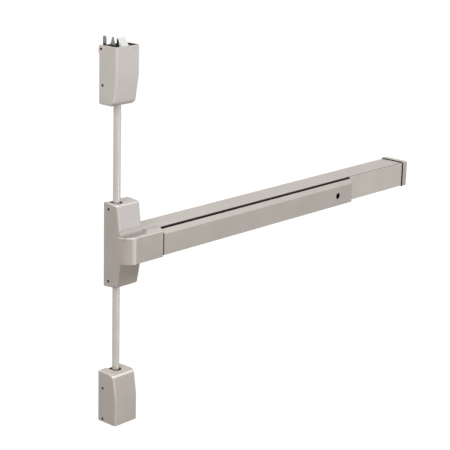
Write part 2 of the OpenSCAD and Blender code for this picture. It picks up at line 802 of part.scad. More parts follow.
// Fork on the upper rod that pulls the latch bolt down
module latch_lift() {
    low = top_socket_z + 8;
    color(zinc) difference() {
        union() {
            bar_z(rod_x, rod_d, top_socket_z - 14, low + 6, rod_r + 2.4);
            block(rod_x - lift_x - lift_t, rod_x + lift_x + lift_t, rod_d - 8, lift_front, low, low + 6);
            for (x = [rod_x - lift_x - lift_t, rod_x + lift_x])
                block(x, x + lift_t, tail_d - drive_r - 3.5, lift_front, low, tail_z + drive_r + 3);
        }
        bar_z(rod_x, rod_d, top_socket_z - 15, top_socket_z, rod_r + seat_gap);
        along_x(rod_x - 30, rod_x + 30) slot([-tail_d - tail_slot / 2, tail_z], tail_slot / 2 + slot_gap,
                                             drive_r + slot_gap);
    }
}

module upper_rod() { color(silver) bar_z(rod_x, rod_d, socket_z, top_socket_z, rod_r); }

module lower_rod() { color(silver) bar_z(rod_x, rod_d, bottom_socket_z, -socket_z, rod_r); }

// Connector that a lift lever moves, with the socket of its rod; drawn for the upper rod
module rod_connector() {
    lift_z = lever_z + lever_rise;
    color(zinc) difference() {
        union() {
            bar_z(rod_x, rod_d, socket_z - 8, socket_z + socket_len, collar_r);
            block(rod_x - collar_r, rod_x + collar_r, slide_d, slide_d + slide_t, lift_z - 8, socket_z - 7);
        }
        bar_z(rod_x, rod_d, socket_z, socket_z + socket_len + 1, rod_r + seat_gap);
        along_y(slide_d - 1, slide_d + slide_t + 1)
            slot([rod_x, lift_z], lift_slot / 2 + slot_gap, drive_r + slot_gap);
    }
}

module upper_connector() { rod_connector(); }

module lower_connector() { mirror([0, 0, 1]) rod_connector(); }

// Lift lever, drawn for the upper rod
module lift_lever() {
    pivot = [lever_x, lever_z];
    link_pin = pivot - [link_travel / 2, lever_in_z];
    lift_pin = pivot + [-lever_out_x, lever_rise];
    color(zinc) difference() {
        union() {
            bar_y(lever_x, lever_z, plate_t + part_gap, slide_d + slide_t - 0.1, crank_hub_r);
            along_y(lever_d, lever_d + lever_t) {
                arm(pivot, link_pin, drive_r + 2);
                arm(pivot, lift_pin, drive_r + 2);
            }
            bar_y(link_pin[0], link_pin[1], head_plate_d - 1.5, lever_d + eps, drive_r);
            bar_y(lift_pin[0], lift_pin[1], lever_d + eps, slide_d + slide_t + 1.5, drive_r);
        }
        bar_y(lever_x, lever_z, 0, slide_d + slide_t, pivot_r + run_gap);
    }
}

module upper_lever() { lift_lever(); }

module lower_lever() { mirror([0, 0, 1]) lift_lever(); }

module link_bar() {
    pin_x = lever_x - link_travel / 2;
    color(zinc) difference() {
        union() {
            block(pin_x - 6, pin_x + 16, head_plate_d, head_plate_d + link_t, -link_pin_z - 6,
                  link_pin_z + 6);
            block(pin_x + 6, key_x + 22, link_mid_d - link_w / 2, link_mid_d + link_w / 2, link_top - link_t,
                  link_top);
        }
        for (s = [-1, 1]) along_y(head_plate_d - 4, head_plate_d + link_t + 4)
            slot_up([pin_x, s * link_pin_z], lever_slot / 2 + slot_gap, drive_r + slot_gap);
        for (x = [near_crank_x, far_crank_x]) translate([0, 0, link_top - link_t - 1])
            linear_extrude(link_t + 2)
                slot_up([x - link_travel / 2, -link_mid_d], link_slot + slot_gap, drive_r + slot_gap);
    }
}

// Bell crank between the touch bar and the link bar
module bell_crank(x) {
    pivot = [x, -crank_d];
    bar_pin = [x - crank_in_x, -crank_pin_d];
    link_pin = [x - link_travel / 2, -crank_d + crank_out_d];
    color(zinc) difference() {
        union() {
            bar_z(x, crank_d, -bracket_gap / 2 + 0.2, bracket_gap / 2 - 0.2, crank_hub_r);
            translate([0, 0, -crank_t / 2]) linear_extrude(crank_t) {
                arm(pivot, bar_pin, drive_r + 2);
                arm(pivot, link_pin, drive_r + 2);
            }
            bar_z(bar_pin[0], -bar_pin[1], -crank_t / 2 - ear_t - 0.8, crank_t / 2 + ear_t + 0.8, drive_r);
            bar_z(link_pin[0], -link_pin[1], link_top - link_t - 1.2, 0, drive_r);
        }
        bar_z(x, crank_d, -20, 20, pivot_r + run_gap);
    }
}

module near_crank() { bell_crank(near_crank_x); }

module far_crank() { bell_crank(far_crank_x); }

// Bracket inside the touch bar, with the slotted ears that drive a bell crank
module drive_bracket(x) {
    pin_x = x - crank_in_x;
    rear = crank_pin_d - drive_r - 2;
    color(zinc) difference() {
        union() {
            block(pin_x - 15, pin_x + 15, bar_web - 3, bar_web, 1 - pad_z, pad_z - 1);
            for (z = [crank_t / 2 + slide_gap, -crank_t / 2 - slide_gap - ear_t])
                block(pin_x - 7, pin_x + 7, rear, bar_web - 2, z, z + ear_t);
        }
        translate([0, 0, -12]) linear_extrude(24)
            slot([pin_x - crank_slot, -crank_pin_d], crank_slot + slot_gap, drive_r + slot_gap);
    }
}

module near_drive_bracket() { drive_bracket(near_crank_x); }

module far_drive_bracket() { drive_bracket(far_crank_x); }

// Section of the touch bar: bevelled pad, top leg in the rail, two lower legs round the rail's lip
module touch_bar_section() {
    turn = atan2(bar_d - bar_shoulder, bar_bevel);
    edge = [for (i = [0:4]) let (a = turn * (1 - i / 4))
        [-bar_d + bar_edge_r - bar_edge_r * cos(a),
         bar_bevel_z - bar_edge_r * tan(turn / 2) + bar_edge_r * sin(a)]];
    polygon(concat([[-bar_rear, bar_top], [-bar_shoulder, bar_top]], edge, [
        [-bar_d, -bar_skirt_top - bar_skirt + 1.2], [-bar_d + 1.2, -bar_skirt_top - bar_skirt],
        [-bar_skirt_d, -bar_skirt_top - bar_skirt], [-bar_skirt_d, -bar_skirt_top],
        [-bar_web, -bar_skirt_top], [-bar_web, -bar_low], [-bar_rear, -bar_low],
        [-bar_rear, -bar_low + bar_leg_t], [-bar_web, -bar_low + bar_leg_t], [-bar_web, pad_z],
        [-bar_shoulder, bar_top - bar_leg_t], [-bar_rear, bar_top - bar_leg_t]]));
}

module touch_bar() {
    color(silver) difference() {
        along_x(bar_left, bar_right) touch_bar_section();
        bar_y(key_x, -key_drop, bar_web - 2, bar_d + 1, key_hole / 2);
    }
}

// Plugs that close the two ends of the touch bar
module touch_bar_ends() {
    color([0.25, 0.25, 0.25]) for (x = [bar_left + 0.6, bar_right - 0.6 - plug_t])
        along_x(x, x + plug_t) polygon([
            [-bar_rear - 1, bar_top - bar_leg_t - plug_gap],
            [-bar_shoulder + plug_gap, bar_top - bar_leg_t - plug_gap],
            [-bar_web + plug_gap, pad_z - plug_gap],
            [-bar_web + plug_gap, -bar_low + bar_leg_t + plug_gap],
            [-bar_rear - 1, -bar_low + bar_leg_t + plug_gap]]);
}

module return_springs() {
    color(steel) for (x = [near_crank_x, far_crank_x])
        translate([x + spring_x, -spring_seat, spring_z]) rotate([90, 0, 0])
            coil_spring(bar_web - spring_seat, bar_coil_r, bar_wire_r, spring_turns);
}

module dogging_screw() {
    color(steel) difference() {
        union() {
            bar_y(key_x, -key_drop, dog_rear, dog_front, dog_r);
            bar_y(key_x, -key_drop, dog_front - dog_head_t, dog_front, dog_r + 1);
            along_y(dog_rear + 1, dog_plate_d - 1) arm([key_x, -key_drop], [key_x, -key_drop - 12], 4);
        }
        bar_y(key_x, -key_drop, dog_front - dog_head_t + 1, dog_front + 1, dog_key_r, $fn = 6);
    }
}

module bottom_cover() {
    z_taper = bottom_z + bottom_straight;
    color(silver) difference() {
        latch_shell(bottom_x0, bottom_x1, bottom_top_z, bottom_z, z_taper, bottom_d, bottom_top_d, 0,
                    bottom_round_r);
        latch_shell(bottom_x0, bottom_x1, bottom_top_z, bottom_z, z_taper, bottom_d, bottom_top_d,
                    latch_wall, bottom_round_r);
        rod_notch(bottom_top_z - latch_wall - 1, bottom_top_z + 1);
        screw_bores(bottom_screws, bottom_x0, bottom_x1);
    }
}

module bottom_base() {
    high = bottom_top_z - latch_wall - part_gap;
    color(zinc) {
        difference() {
            block(rod_x - bottom_base_x, rod_x + bottom_base_x, 0, plate_t, bottom_shelf_z, high);
            plate_holes(rod_x, bottom_top_z - bottom_mount_drop, latch_mount_w, bottom_mount_h);
            block(rod_x - notch_r, rod_x + notch_r, -1, plate_t + 1, high - bottom_cut, high + 1);
        }
        screw_tabs(bottom_screws, bottom_base_x, rod_x);
        rod_shelf(bottom_guide_z, -1);
        difference() {
            block(rod_x - bottom_shelf_half, rod_x + bottom_shelf_half, plate_t - eps, bottom_shelf_front,
                  bottom_shelf_z, bottom_shelf_z + bottom_shelf_t);
            bar_z(rod_x, rod_d, bottom_shelf_z - 1, bottom_shelf_z + bottom_shelf_t + 1,
                  bottom_bolt_dia / 2 + run_gap);
        }
    }
}

module bottom_cover_screws() {
    color(steel) both_sides(rod_x) for (s = bottom_screws) side_screw(s[0], s[1], bottom_x0);
}

// Bolt at the lower rod's end, with its collar and slanted tip
module bottom_bolt() {
    tip = bottom_z - bottom_bolt_out;
    r = bottom_bolt_dia / 2;
    color([0.86, 0.86, 0.85]) difference() {
        union() {
            bar_z(rod_x, rod_d, tip, bottom_socket_z, r);
            bar_z(rod_x, rod_d, bottom_socket_z - 18, bottom_socket_z + 12, collar_r);
        }
        bar_z(rod_x, rod_d, bottom_socket_z, bottom_socket_z + 13, rod_r + seat_gap);
        along_x(rod_x - 20, rod_x + 20) polygon([
            [-rod_d - r - 1, tip + 9], [-rod_d - r - 1, tip - 1], [-rod_d + 3, tip - 1]]);
    }
}

module bolt_spring() {
    low = bottom_socket_z + 12;
    color(steel) translate([rod_x, -rod_d, low])
        coil_spring(bottom_guide_z - low, rod_r + bolt_coil_gap, bolt_wire_r, spring_turns);
}

centre_base();
centre_cover();
centre_cover_screws();
lever_posts();
upper_guide();
lower_guide();
guide_bushes();
rail_channel();
rail_screws();
near_crank_bracket();
far_crank_bracket();
crank_pins();
end_filler();
end_cap();
end_bracket();
dogging_bracket();
top_base();
top_cover();
top_cover_screws();
latch_pivot_pin();
bottom_base();
bottom_cover();
bottom_cover_screws();
touch_bar();
touch_bar_ends();
near_drive_bracket();
far_drive_bracket();
return_springs();
near_crank();
far_crank();
link_bar();
upper_lever();
lower_lever();
upper_rod();
upper_connector();
latch_lift();
lower_rod();
lower_connector();
bottom_bolt();
bolt_spring();
latch_bolt();
latch_lift_pin();
dogging_screw();
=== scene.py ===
"""Looks of a surface mounted vertical rod exit device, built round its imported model.

Each sub-assembly is a class: the centre case, the push rail, and the rods with their latches. Each finish is
a frozen dataclass that makes its own material.
"""

import logging
import math
from collections.abc import Callable
from dataclasses import dataclass, field
from enum import Enum, auto
from typing import Any

import bmesh
import bpy
from bpy.types import NodeSocket, NodeTree
from mathutils import Matrix, Vector


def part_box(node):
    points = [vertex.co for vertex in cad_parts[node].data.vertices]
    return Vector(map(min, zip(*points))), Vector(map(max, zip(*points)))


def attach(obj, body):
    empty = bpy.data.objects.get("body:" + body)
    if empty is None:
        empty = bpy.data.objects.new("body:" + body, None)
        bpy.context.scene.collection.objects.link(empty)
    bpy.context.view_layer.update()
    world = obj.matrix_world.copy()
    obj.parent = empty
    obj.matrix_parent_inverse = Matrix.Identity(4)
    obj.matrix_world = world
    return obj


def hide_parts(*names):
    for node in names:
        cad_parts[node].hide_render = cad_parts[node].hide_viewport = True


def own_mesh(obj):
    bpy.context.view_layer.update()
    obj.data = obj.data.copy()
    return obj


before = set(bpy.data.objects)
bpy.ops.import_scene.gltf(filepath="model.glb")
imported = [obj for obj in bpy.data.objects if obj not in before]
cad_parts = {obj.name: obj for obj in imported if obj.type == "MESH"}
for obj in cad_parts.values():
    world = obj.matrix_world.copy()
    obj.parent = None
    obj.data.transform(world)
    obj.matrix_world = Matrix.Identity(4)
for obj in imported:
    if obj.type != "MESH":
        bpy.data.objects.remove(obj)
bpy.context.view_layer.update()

LOG = logging.getLogger("exit_device")
MM = 0.001
# Faces that meet at less than this shade as one
SMOOTH_BELOW = math.radians(32)
# Faces that meet at less than this are one flat face
FLAT_BELOW = math.radians(0.5)
# Points closer than this are one: in metres on a CAD node, in mm on a piece drawn in mm
WELD = 0.002 * MM
WELD_MM = 0.001
# Least part of a normal along an axis where a face looks along it, and where it leans that way
STRAIGHT = 0.9
LEANING = 0.5
# Most part of a normal along Z on an upright wall, and least along Y on a face towards the door
UPRIGHT = 0.6
DOORWARD = 0.2
# Faces across a rounded edge, round a turned piece, a wire and a bore, and steps in a spring's turn
EDGE_FACES = 2
TURNED_FACES = 24
WIRE_FACES = 8
BORE_FACES = 32
COIL_STEPS = 20
# Degrees between two corners of a hexagonal socket
HEXAGON = 60.0
# One ring of the wave texture takes this much of its coordinates
WAVE_RING = 0.314
# Width of the camera's picture in mm
PICTURE_WIDTH = 36.0
# The rods' middle line, in mm
ROD_X = -15.85
ROD_DEPTH = 22.6
# The levers' pivots, in mm
LEVER_X = 8.361
LEVER_Z = 32.0
# The bell cranks' pivots, and where the return springs start, in mm
CRANK_XS = (160.0, 640.0)
CRANK_DEPTH = 36.0
SPRING_XS = (182.0, 662.0)

Pair = tuple[float, float]
Point = tuple[float, float, float]
Place = tuple[Point, Point]
Outline = tuple[Pair, ...]
FaceTest = Callable[[Vector, Vector], bool]

UP: Point = (0.0, 0.0, 1.0)
OUTWARDS: Point = (0.0, -1.0, 0.0)
RIGHT: Point = (1.0, 0.0, 0.0)
LEFT: Point = (-1.0, 0.0, 0.0)

# Radius of a socket's corners in mm, in the covers' screws and in the rail's
COVER_SOCKET = 1.6
RAIL_SOCKET = 1.5
# Socket screw of the covers, from its seat in the wall inwards
COVER_SCREW: Outline = ((0.0, 2.0), (1.6, 2.0), (1.6, 0.7), (2.75, 0.7), (3.1, 1.05), (3.1, 2.8), (2.0, 2.8),
                        (2.0, 8.0), (1.5, 8.4), (0.0, 8.4))
# Socket screw of the rail, from the base plate outwards
RAIL_SCREW: Outline = ((0.0, 6.4), (1.5, 6.4), (1.5, 8.0), (4.0, 8.0), (4.4, 7.6), (4.4, 5.4), (2.45, 5.4),
                       (2.45, 0.9), (2.05, 0.5), (0.0, 0.5))
# Post of a lever, from the base plate outwards
LEVER_POST: Outline = ((0.0, 0.3), (3.0, 0.3), (3.0, 3.0), (4.0, 3.0), (4.0, 22.0), (6.0, 22.0), (6.0, 23.0),
                       (5.6, 23.4), (2.2, 23.4), (1.6, 22.9), (0.0, 22.9))
# Pin of a bell crank, from the middle of its bracket
CRANK_PIN: Outline = ((0.0, -12.1), (1.6, -12.1), (2.2, -12.5), (3.6, -12.5), (4.0, -12.1), (4.0, 11.0),
                      (5.5, 11.0), (5.5, 12.0), (5.0, 12.5), (0.0, 12.5))
# Pin that the wedge bolt turns on
LATCH_PIN: Outline = ((0.0, -26.9), (3.6, -26.9), (4.0, -26.5), (4.0, 25.3), (5.5, 25.3), (5.5, 26.4),
                      (5.0, 26.9), (0.0, 26.9))


class Body(str, Enum):
    """The rigid bodies that pieces ride on."""

    FRAME = "device_frame"
    BAR = "touch_bar"
    NEAR_CRANK = "near_crank"
    FAR_CRANK = "far_crank"
    LINK = "link_bar"
    UPPER_LEVER = "upper_lever"
    LOWER_LEVER = "lower_lever"
    UPPER_ROD = "upper_rod"
    LOWER_ROD = "lower_rod"
    LATCH = "latch"
    DOGGING = "dogging"


class Slot(str, Enum):
    """The material slots of the record."""

    SATIN = "satin_paint"
    RAIL = "rail_aluminium"
    ROD = "rod_paint"
    ZINC = "zinc_plate"
    PIN = "pin_steel"
    SCREW = "screw_steel"
    SPRING = "spring_steel"
    BRIGHT = "bright_steel"
    NYLON = "nylon"
    DARK = "dark_plastic"


class Along(Enum):
    """Ways that a grain runs: how far it is stretched along X, Y and Z."""

    NONE = (1.0, 1.0, 1.0)
    X = (40.0, 1.0, 1.0)
    Z = (1.0, 1.0, 40.0)


class Cue(Enum):
    """What a mask can depend on: a point's place, and the way that its face looks."""

    X = auto()
    HEIGHT = auto()
    LOOKS_RIGHT = auto()
    LOOKS_BACK = auto()
    LOOKS_UP = auto()
    FROM_HOLLOW = auto()
    FROM_BEND = auto()


def linear(hex_color: str) -> tuple[float, ...]:
    """Turn an sRGB hex colour into linear light.

    Args:
        hex_color: Six hex digits with a leading hash.

    Returns:
        Red, green, blue and an alpha of 1.
    """
    channels = [int(hex_color[i:i + 2], 16) / 255 for i in (1, 3, 5)]
    red, green, blue = (c / 12.92 if c <= 0.04045 else ((c + 0.055) / 1.055) ** 2.4 for c in channels)
    return (red, green, blue, 1.0)


def add_node(tree: NodeTree, kind: str, settings: dict[str, Any] | None = None,
             sockets: dict[str | int, Any] | None = None) -> bpy.types.Node:
    """Add a shader node with its settings and its inputs.

    Args:
        tree: The node tree that takes the node.
        kind: The node's type name.
        settings: Properties of the node.
        sockets: Inputs by name or number. An output socket is linked, and any other value is set.

    Returns:
        The new node.
    """
    node = tree.nodes.new(kind)
    for name, value in (settings or {}).items():
        setattr(node, name, value)
    for key, value in (sockets or {}).items():
        if isinstance(value, NodeSocket):
            tree.links.new(value, node.inputs[key])
        else:
            node.inputs[key].default_value = value
    return node


@dataclass(frozen=True)
class Ground:
    """What a finish draws its colour from.

    Attributes:
        tree: The material's tree.
        place: Coordinates in metres.
        patches: Noise of the patches.
        grain: Noise of the grain.
    """

    tree: NodeTree
    place: NodeSocket
    patches: NodeSocket
    grain: NodeSocket


@dataclass(frozen=True)
class Finish:
    """A finish of one real material, drawn with patches, a fine grain and small bumps.

    Attributes:
        name: What the material is and how it was made.
        color: sRGB colour.
        shade: sRGB colour of the darker patches.
        metallic: 1 on bare metal.
        roughness: Middle of the roughness.
        spread: How far the grain moves the roughness.
        patch_mm: Size of the patches.
        grain_mm: Size of the grain.
        bump_mm: Depth of the grain.
        along: Way that the grain runs.
        grain_share: How much of the grain is added to the patches.
        patch_range: Noise where the darker colour is full, and where the lighter one is.
    """

    name: str
    color: str
    shade: str
    metallic: float
    roughness: float
    spread: float
    patch_mm: float
    grain_mm: float
    bump_mm: float
    along: Along = Along.NONE
    grain_share: float = 0.35
    patch_range: Pair = (0.45, 0.95)

    def material(self) -> bpy.types.Material:
        """Make the material, once for each finish.

        Returns:
            The material.
        """
        made = bpy.data.materials.get(self.name)
        if made:
            return made
        made = bpy.data.materials.new(self.name)
        made.use_nodes = True
        tree = made.node_tree
        tree.nodes.clear()
        place = add_node(tree, "ShaderNodeTexCoord").outputs["Object"]
        patches = self.noise(tree, place, self.patch_mm, Along.NONE, 3.0)
        grain = self.noise(tree, place, self.grain_mm, self.along, 4.0)
        color = self.tint(Ground(tree, place, patches, grain))
        rough = add_node(tree, "ShaderNodeMapRange", None, {
            "Value": grain, "To Min": max(self.roughness - self.spread, 0.02),
            "To Max": self.roughness + self.spread}).outputs["Result"]
        bump = add_node(tree, "ShaderNodeBump", None, {
            "Height": grain, "Distance": self.bump_mm * MM, "Strength": 1.0}).outputs["Normal"]
        shader = add_node(tree, "ShaderNodeBsdfPrincipled", None, {
            "Base Color": color, "Roughness": rough, "Normal": bump, "Metallic": self.metallic})
        add_node(tree, "ShaderNodeOutputMaterial", None, {"Surface": shader.outputs["BSDF"]})
        return made

    def noise(self, tree: NodeTree, place: NodeSocket, size_mm: float, along: Along,
              detail: float) -> NodeSocket:
        """Add noise of a real size.

        Args:
            tree: The material's tree.
            place: Coordinates in metres.
            size_mm: Size of one patch or grain.
            along: Way that it is stretched.
            detail: Number of finer layers.

        Returns:
            The noise, from 0 to 1.
        """
        scale = tuple(1.0 / (size_mm * MM * way) for way in along.value)
        mapped = add_node(tree, "ShaderNodeMapping", None, {"Vector": place, "Scale": scale})
        return add_node(tree, "ShaderNodeTexNoise", None, {
            "Vector": mapped.outputs["Vector"], "Scale": 1.0, "Detail": detail,
            "Roughness": 0.55}).outputs["Fac"]

    def tint(self, ground: Ground) -> NodeSocket:
        """Mix the two colours by the patches, with a little of the grain.

        Args:
            ground: What the colour is drawn from.

        Returns:
            The colour.
        """
        tree = ground.tree
        both = add_node(tree, "ShaderNodeMath", {"operation": "MULTIPLY_ADD"}, {
            0: ground.grain, 1: self.grain_share, 2: ground.patches}).outputs[0]
        low, high = self.patch_range
        part = add_node(tree, "ShaderNodeMapRange", None, {
            "Value": both, "From Min": low, "From Max": high}).outputs["Result"]
        mix = add_node(tree, "ShaderNodeMix", {"data_type": "RGBA"}, {
            "Factor": part, "A": linear(self.shade), "B": linear(self.color)})
        return mix.outputs[2]


@dataclass(frozen=True)
class Lacquer(Finish):
    """Sprayed aluminium lacquer: flakes in a clear binder over a pressed or extruded wall.

    Attributes:
        flake_mm: Size of a flake, drawn coarser than the real 0.05 mm so that it shows.
        glint: How much lighter the brightest flakes are.
    """

    flake_mm: float = 0.7
    glint: float = 0.05

    def tint(self, ground: Ground) -> NodeSocket:
        """Add flakes of slightly different brightness to the patches.

        Args:
            ground: What the colour is drawn from.

        Returns:
            The colour.
        """
        base = super().tint(ground)
        tree = ground.tree
        cells = add_node(tree, "ShaderNodeTexVoronoi", None, {
            "Vector": ground.place, "Scale": 1.0 / (self.flake_mm * MM)})
        gray = add_node(tree, "ShaderNodeSeparateColor", None, {"Color": cells.outputs["Color"]})
        lift = add_node(tree, "ShaderNodeMapRange", None, {
            "Value": gray.outputs["Red"], "To Min": 1.0 - self.glint, "To Max": 1.0 + self.glint})
        return add_node(tree, "ShaderNodeVectorMath", {"operation": "SCALE"}, {
            0: base, "Scale": lift.outputs["Result"]}).outputs["Vector"]


@dataclass(frozen=True)
class Mask:
    """Where a lacquer has painted shade or a painted highlight. Its steps are multiplied.

    Attributes:
        color: sRGB colour.
        weight: Share of that colour where the mask is full.
        steps: Cue of each step, its value where the colour starts and where it is full.
    """

    color: str
    weight: float
    steps: tuple[tuple[Cue, float, float], ...]


# Painted shade: grey in the hollow over the rail head
HOLLOW_SHADE = Mask("#8e8b88", 0.9, ((Cue.FROM_HOLLOW, 12.0 * MM, 3.5 * MM), (Cue.X, -34.5 * MM, -31.0 * MM)))
# Painted highlight on the rims: faces that look half upwards, except in the bend of the hollow
RIM_HIGHLIGHT = Mask("#f4f2ef", 0.85, ((Cue.LOOKS_UP, 0.28, 0.48), (Cue.LOOKS_UP, 0.74, 0.64),
                              (Cue.FROM_BEND, 15.8 * MM, 17.2 * MM)))
# Painted light: the front above the hollow, made lighter
LIT_FRONT = Mask("#d6d1cf", 0.8, ((Cue.LOOKS_BACK, -0.75, -0.97), (Cue.HEIGHT, 36.0 * MM, 46.0 * MM)))
# Painted shade on the faces that look down and outwards
UNDERSIDE_SHADE = Mask("#aca296", 1.0, ((Cue.LOOKS_UP, -0.10, -0.28), (Cue.LOOKS_BACK, 0.0, -0.2)))
# Painted highlight on the upright corner at the left
CORNER_HIGHLIGHT = Mask("#e2ddd8", 0.55, ((Cue.LOOKS_RIGHT, -0.08, -0.24), (Cue.LOOKS_RIGHT, -0.56, -0.36)))


@dataclass(frozen=True)
class Moulded(Lacquer):
    """Lacquer on a moulded cover, with painted shade in the hollow and underneath, and painted highlights on
    the rims, the front and the corner.

    Attributes:
        hollow: Y and Z in mm of the line that the painted shade in the hollow lies round.
        middle: Y and Z in mm of the middle of the hollow's bend.
        masks: Its painted shade and painted highlights.
    """

    hollow: Pair = (-62.0, 27.0)
    middle: Pair = (-67.0, 41.0)
    masks: tuple[Mask, ...] = (HOLLOW_SHADE, RIM_HIGHLIGHT, LIT_FRONT, UNDERSIDE_SHADE, CORNER_HIGHLIGHT)

    def tint(self, ground: Ground) -> NodeSocket:
        """Mix in the painted shade and highlights of the masks.

        Args:
            ground: What the colour is drawn from.

        Returns:
            The colour.
        """
        color = super().tint(ground)
        tree = ground.tree
        at = add_node(tree, "ShaderNodeSeparateXYZ", None, {0: ground.place}).outputs
        way = add_node(tree, "ShaderNodeSeparateXYZ", None, {
            0: add_node(tree, "ShaderNodeTexCoord").outputs["Normal"]}).outputs
        line = add_node(tree, "ShaderNodeCombineXYZ", None, {"Y": at["Y"], "Z": at["Z"]}).outputs[0]
        away, bend = (add_node(tree, "ShaderNodeVectorMath", {"operation": "DISTANCE"}, {
            0: line, 1: (0.0, y * MM, z * MM)}).outputs["Value"] for y, z in (self.hollow, self.middle))
        cues = {Cue.X: at["X"], Cue.HEIGHT: at["Z"], Cue.LOOKS_RIGHT: way["X"], Cue.LOOKS_BACK: way["Y"],
                Cue.LOOKS_UP: way["Z"], Cue.FROM_HOLLOW: away, Cue.FROM_BEND: bend}
        # Mix in the painted shade and painted highlights
        for mask in self.masks:
            part: float | NodeSocket = mask.weight
            for cue, off, full in mask.steps:
                part = add_node(tree, "ShaderNodeMath", {"operation": "MULTIPLY"}, {
                    0: part, 1: self.step(tree, cues[cue], off, full)}).outputs[0]
            color = add_node(tree, "ShaderNodeMix", {"data_type": "RGBA"}, {
                "Factor": part, "A": color, "B": linear(mask.color)}).outputs[2]
        return color

    def step(self, tree: NodeTree, value: NodeSocket, off: float, full: float) -> NodeSocket:
        """Make a smooth mask from 0 to 1.

        Args:
            tree: The material's tree.
            value: What it depends on.
            off: Value where the mask is 0.
            full: Value where the mask is 1.

        Returns:
            The mask.
        """
        return add_node(tree, "ShaderNodeMapRange", {"interpolation_type": "SMOOTHSTEP"}, {
            "Value": value, "From Min": off, "From Max": full}).outputs["Result"]


@dataclass(frozen=True)
class TwoTone(Finish):
    """A finish that changes along one axis: here painted shade on the parts inside the cases, and a painted
    reflection on the wedge bolt's sides.

    Attributes:
        below: sRGB colour on the low side of the border.
        border_mm: Where the colours meet.
        across: The axis.
        fade_mm: How far from the border the colours start and stop mixing.
        ragged_mm: How far the patches move the border.
    """

    below: str = "#2b2927"
    border_mm: float = 0.0
    across: str = "Z"
    fade_mm: Pair = (-0.5, 0.9)
    ragged_mm: float = 0.6

    def tint(self, ground: Ground) -> NodeSocket:
        """Mix the two colours by the place.

        Args:
            ground: What the colour is drawn from.

        Returns:
            The colour.
        """
        above = super().tint(ground)
        tree = ground.tree
        at = add_node(tree, "ShaderNodeSeparateXYZ", None, {0: ground.place}).outputs[self.across]
        ragged = add_node(tree, "ShaderNodeMath", {"operation": "MULTIPLY_ADD"}, {
            0: ground.patches, 1: self.ragged_mm * MM, 2: at}).outputs[0]
        low, high = ((self.border_mm + step) * MM for step in self.fade_mm)
        part = add_node(tree, "ShaderNodeMapRange", None, {
            "Value": ragged, "From Min": low, "From Max": high}).outputs["Result"]
        mix = add_node(tree, "ShaderNodeMix", {"data_type": "RGBA"}, {
            "Factor": part, "A": linear(self.below), "B": above})
        return mix.outputs[2]


@dataclass(frozen=True)
class Turned(Finish):
    """Machined steel: fine rings left by the tool, cut across one axis.

    Attributes:
        ring_mm: Spacing of the tool marks, drawn coarser than the real 0.1 mm.
        axis: Axis that the marks go round.
        groove: How bright the bottom of a mark is.
        wander: How far the marks run off their circles.
    """

    ring_mm: float = 0.5
    axis: str = "Z"
    groove: float = 0.86
    wander: float = 0.4

    def tint(self, ground: Ground) -> NodeSocket:
        """Darken the grooves of the tool marks.

        Args:
            ground: What the colour is drawn from.

        Returns:
            The colour.
        """
        base = super().tint(ground)
        tree = ground.tree
        rings = add_node(tree, "ShaderNodeTexWave", {"bands_direction": self.axis}, {
            "Vector": ground.place, "Scale": WAVE_RING / (self.ring_mm * MM), "Distortion": self.wander})
        lift = add_node(tree, "ShaderNodeMapRange", None, {
            "Value": rings.outputs["Fac"], "To Min": self.groove, "To Max": 1.0})
        return add_node(tree, "ShaderNodeVectorMath", {"operation": "SCALE"}, {
            0: base, "Scale": lift.outputs["Result"]}).outputs["Vector"]


# How lacquer lies on a sprayed cover, on the extruded rail and on the drawn rods
SPRAYED = dict(metallic=0.12, roughness=0.36, spread=0.04, patch_mm=60.0, grain_mm=1.6, bump_mm=0.02)
EXTRUDED = dict(metallic=0.12, roughness=0.38, spread=0.04, patch_mm=80.0, grain_mm=0.8, bump_mm=0.012)
DRAWN = dict(metallic=0.45, roughness=0.30, spread=0.04, patch_mm=50.0, grain_mm=0.8, bump_mm=0.008)
# Satin sprayed lacquer on the covers: soft wide highlights, a faint orange peel, a warm grey
SATIN_COVER = Lacquer("sprayed_aluminium_lacquer_cover", "#c5bdb5", "#bbb3aa", **SPRAYED)
# The same lacquer on the centre cover, with painted shade and painted highlights
SATIN_MOULDED = Moulded("sprayed_lacquer_moulded_cover", "#c5bdb5", "#bbb3aa", **SPRAYED)
# The same lacquer on the bottom latch, with painted highlights on its rims and corner and painted shade
# underneath
SATIN_FOOT = Moulded("sprayed_lacquer_bottom_cover", "#c9c1b9", "#c0b8af", **SPRAYED,
                     masks=(RIM_HIGHLIGHT, UNDERSIDE_SHADE, CORNER_HIGHLIGHT))
# The cover at the rail's end: lighter
SATIN_END = Lacquer("sprayed_aluminium_lacquer_end", "#d8d1ca", "#cfc8c0", **EXTRUDED, along=Along.X)
# The lacquer on the top latch: lighter and cooler
SATIN_LATCH = Lacquer("sprayed_aluminium_lacquer_light", "#d9d3cf", "#d0cac5", **SPRAYED)
# The same lacquer on the extruded rail, whose die left faint lines along it
SATIN_RAIL = Lacquer("sprayed_aluminium_lacquer_rail", "#c6beb7", "#bdb5ad", **EXTRUDED, along=Along.X)
# The same lacquer on the drawn rods, a little smoother, with painted shade on the part that runs in the
# centre case
SATIN_ROD_SHADED = TwoTone("sprayed_lacquer_rod_painted_shade", "#cfcac6", "#c6c1bc", **DRAWN, along=Along.Z,
                    below="#242220", border_mm=96.4)
# And on the lower rod, with painted shade from the bottom case down
SATIN_LOW_ROD_SHADED = TwoTone("sprayed_lacquer_low_rod_painted_shade", "#cfcac6", "#c6c1bc", **DRAWN, along=Along.Z,
                        below="#242220", border_mm=-300.4)
# Zinc plate on pressed steel: grey, cloudy, with a soft metal shine
ZINC = Finish("zinc_plated_steel", "#a9abac", "#86898b", metallic=0.9, roughness=0.42, spread=0.10,
              patch_mm=14.0, grain_mm=1.2, bump_mm=0.015)
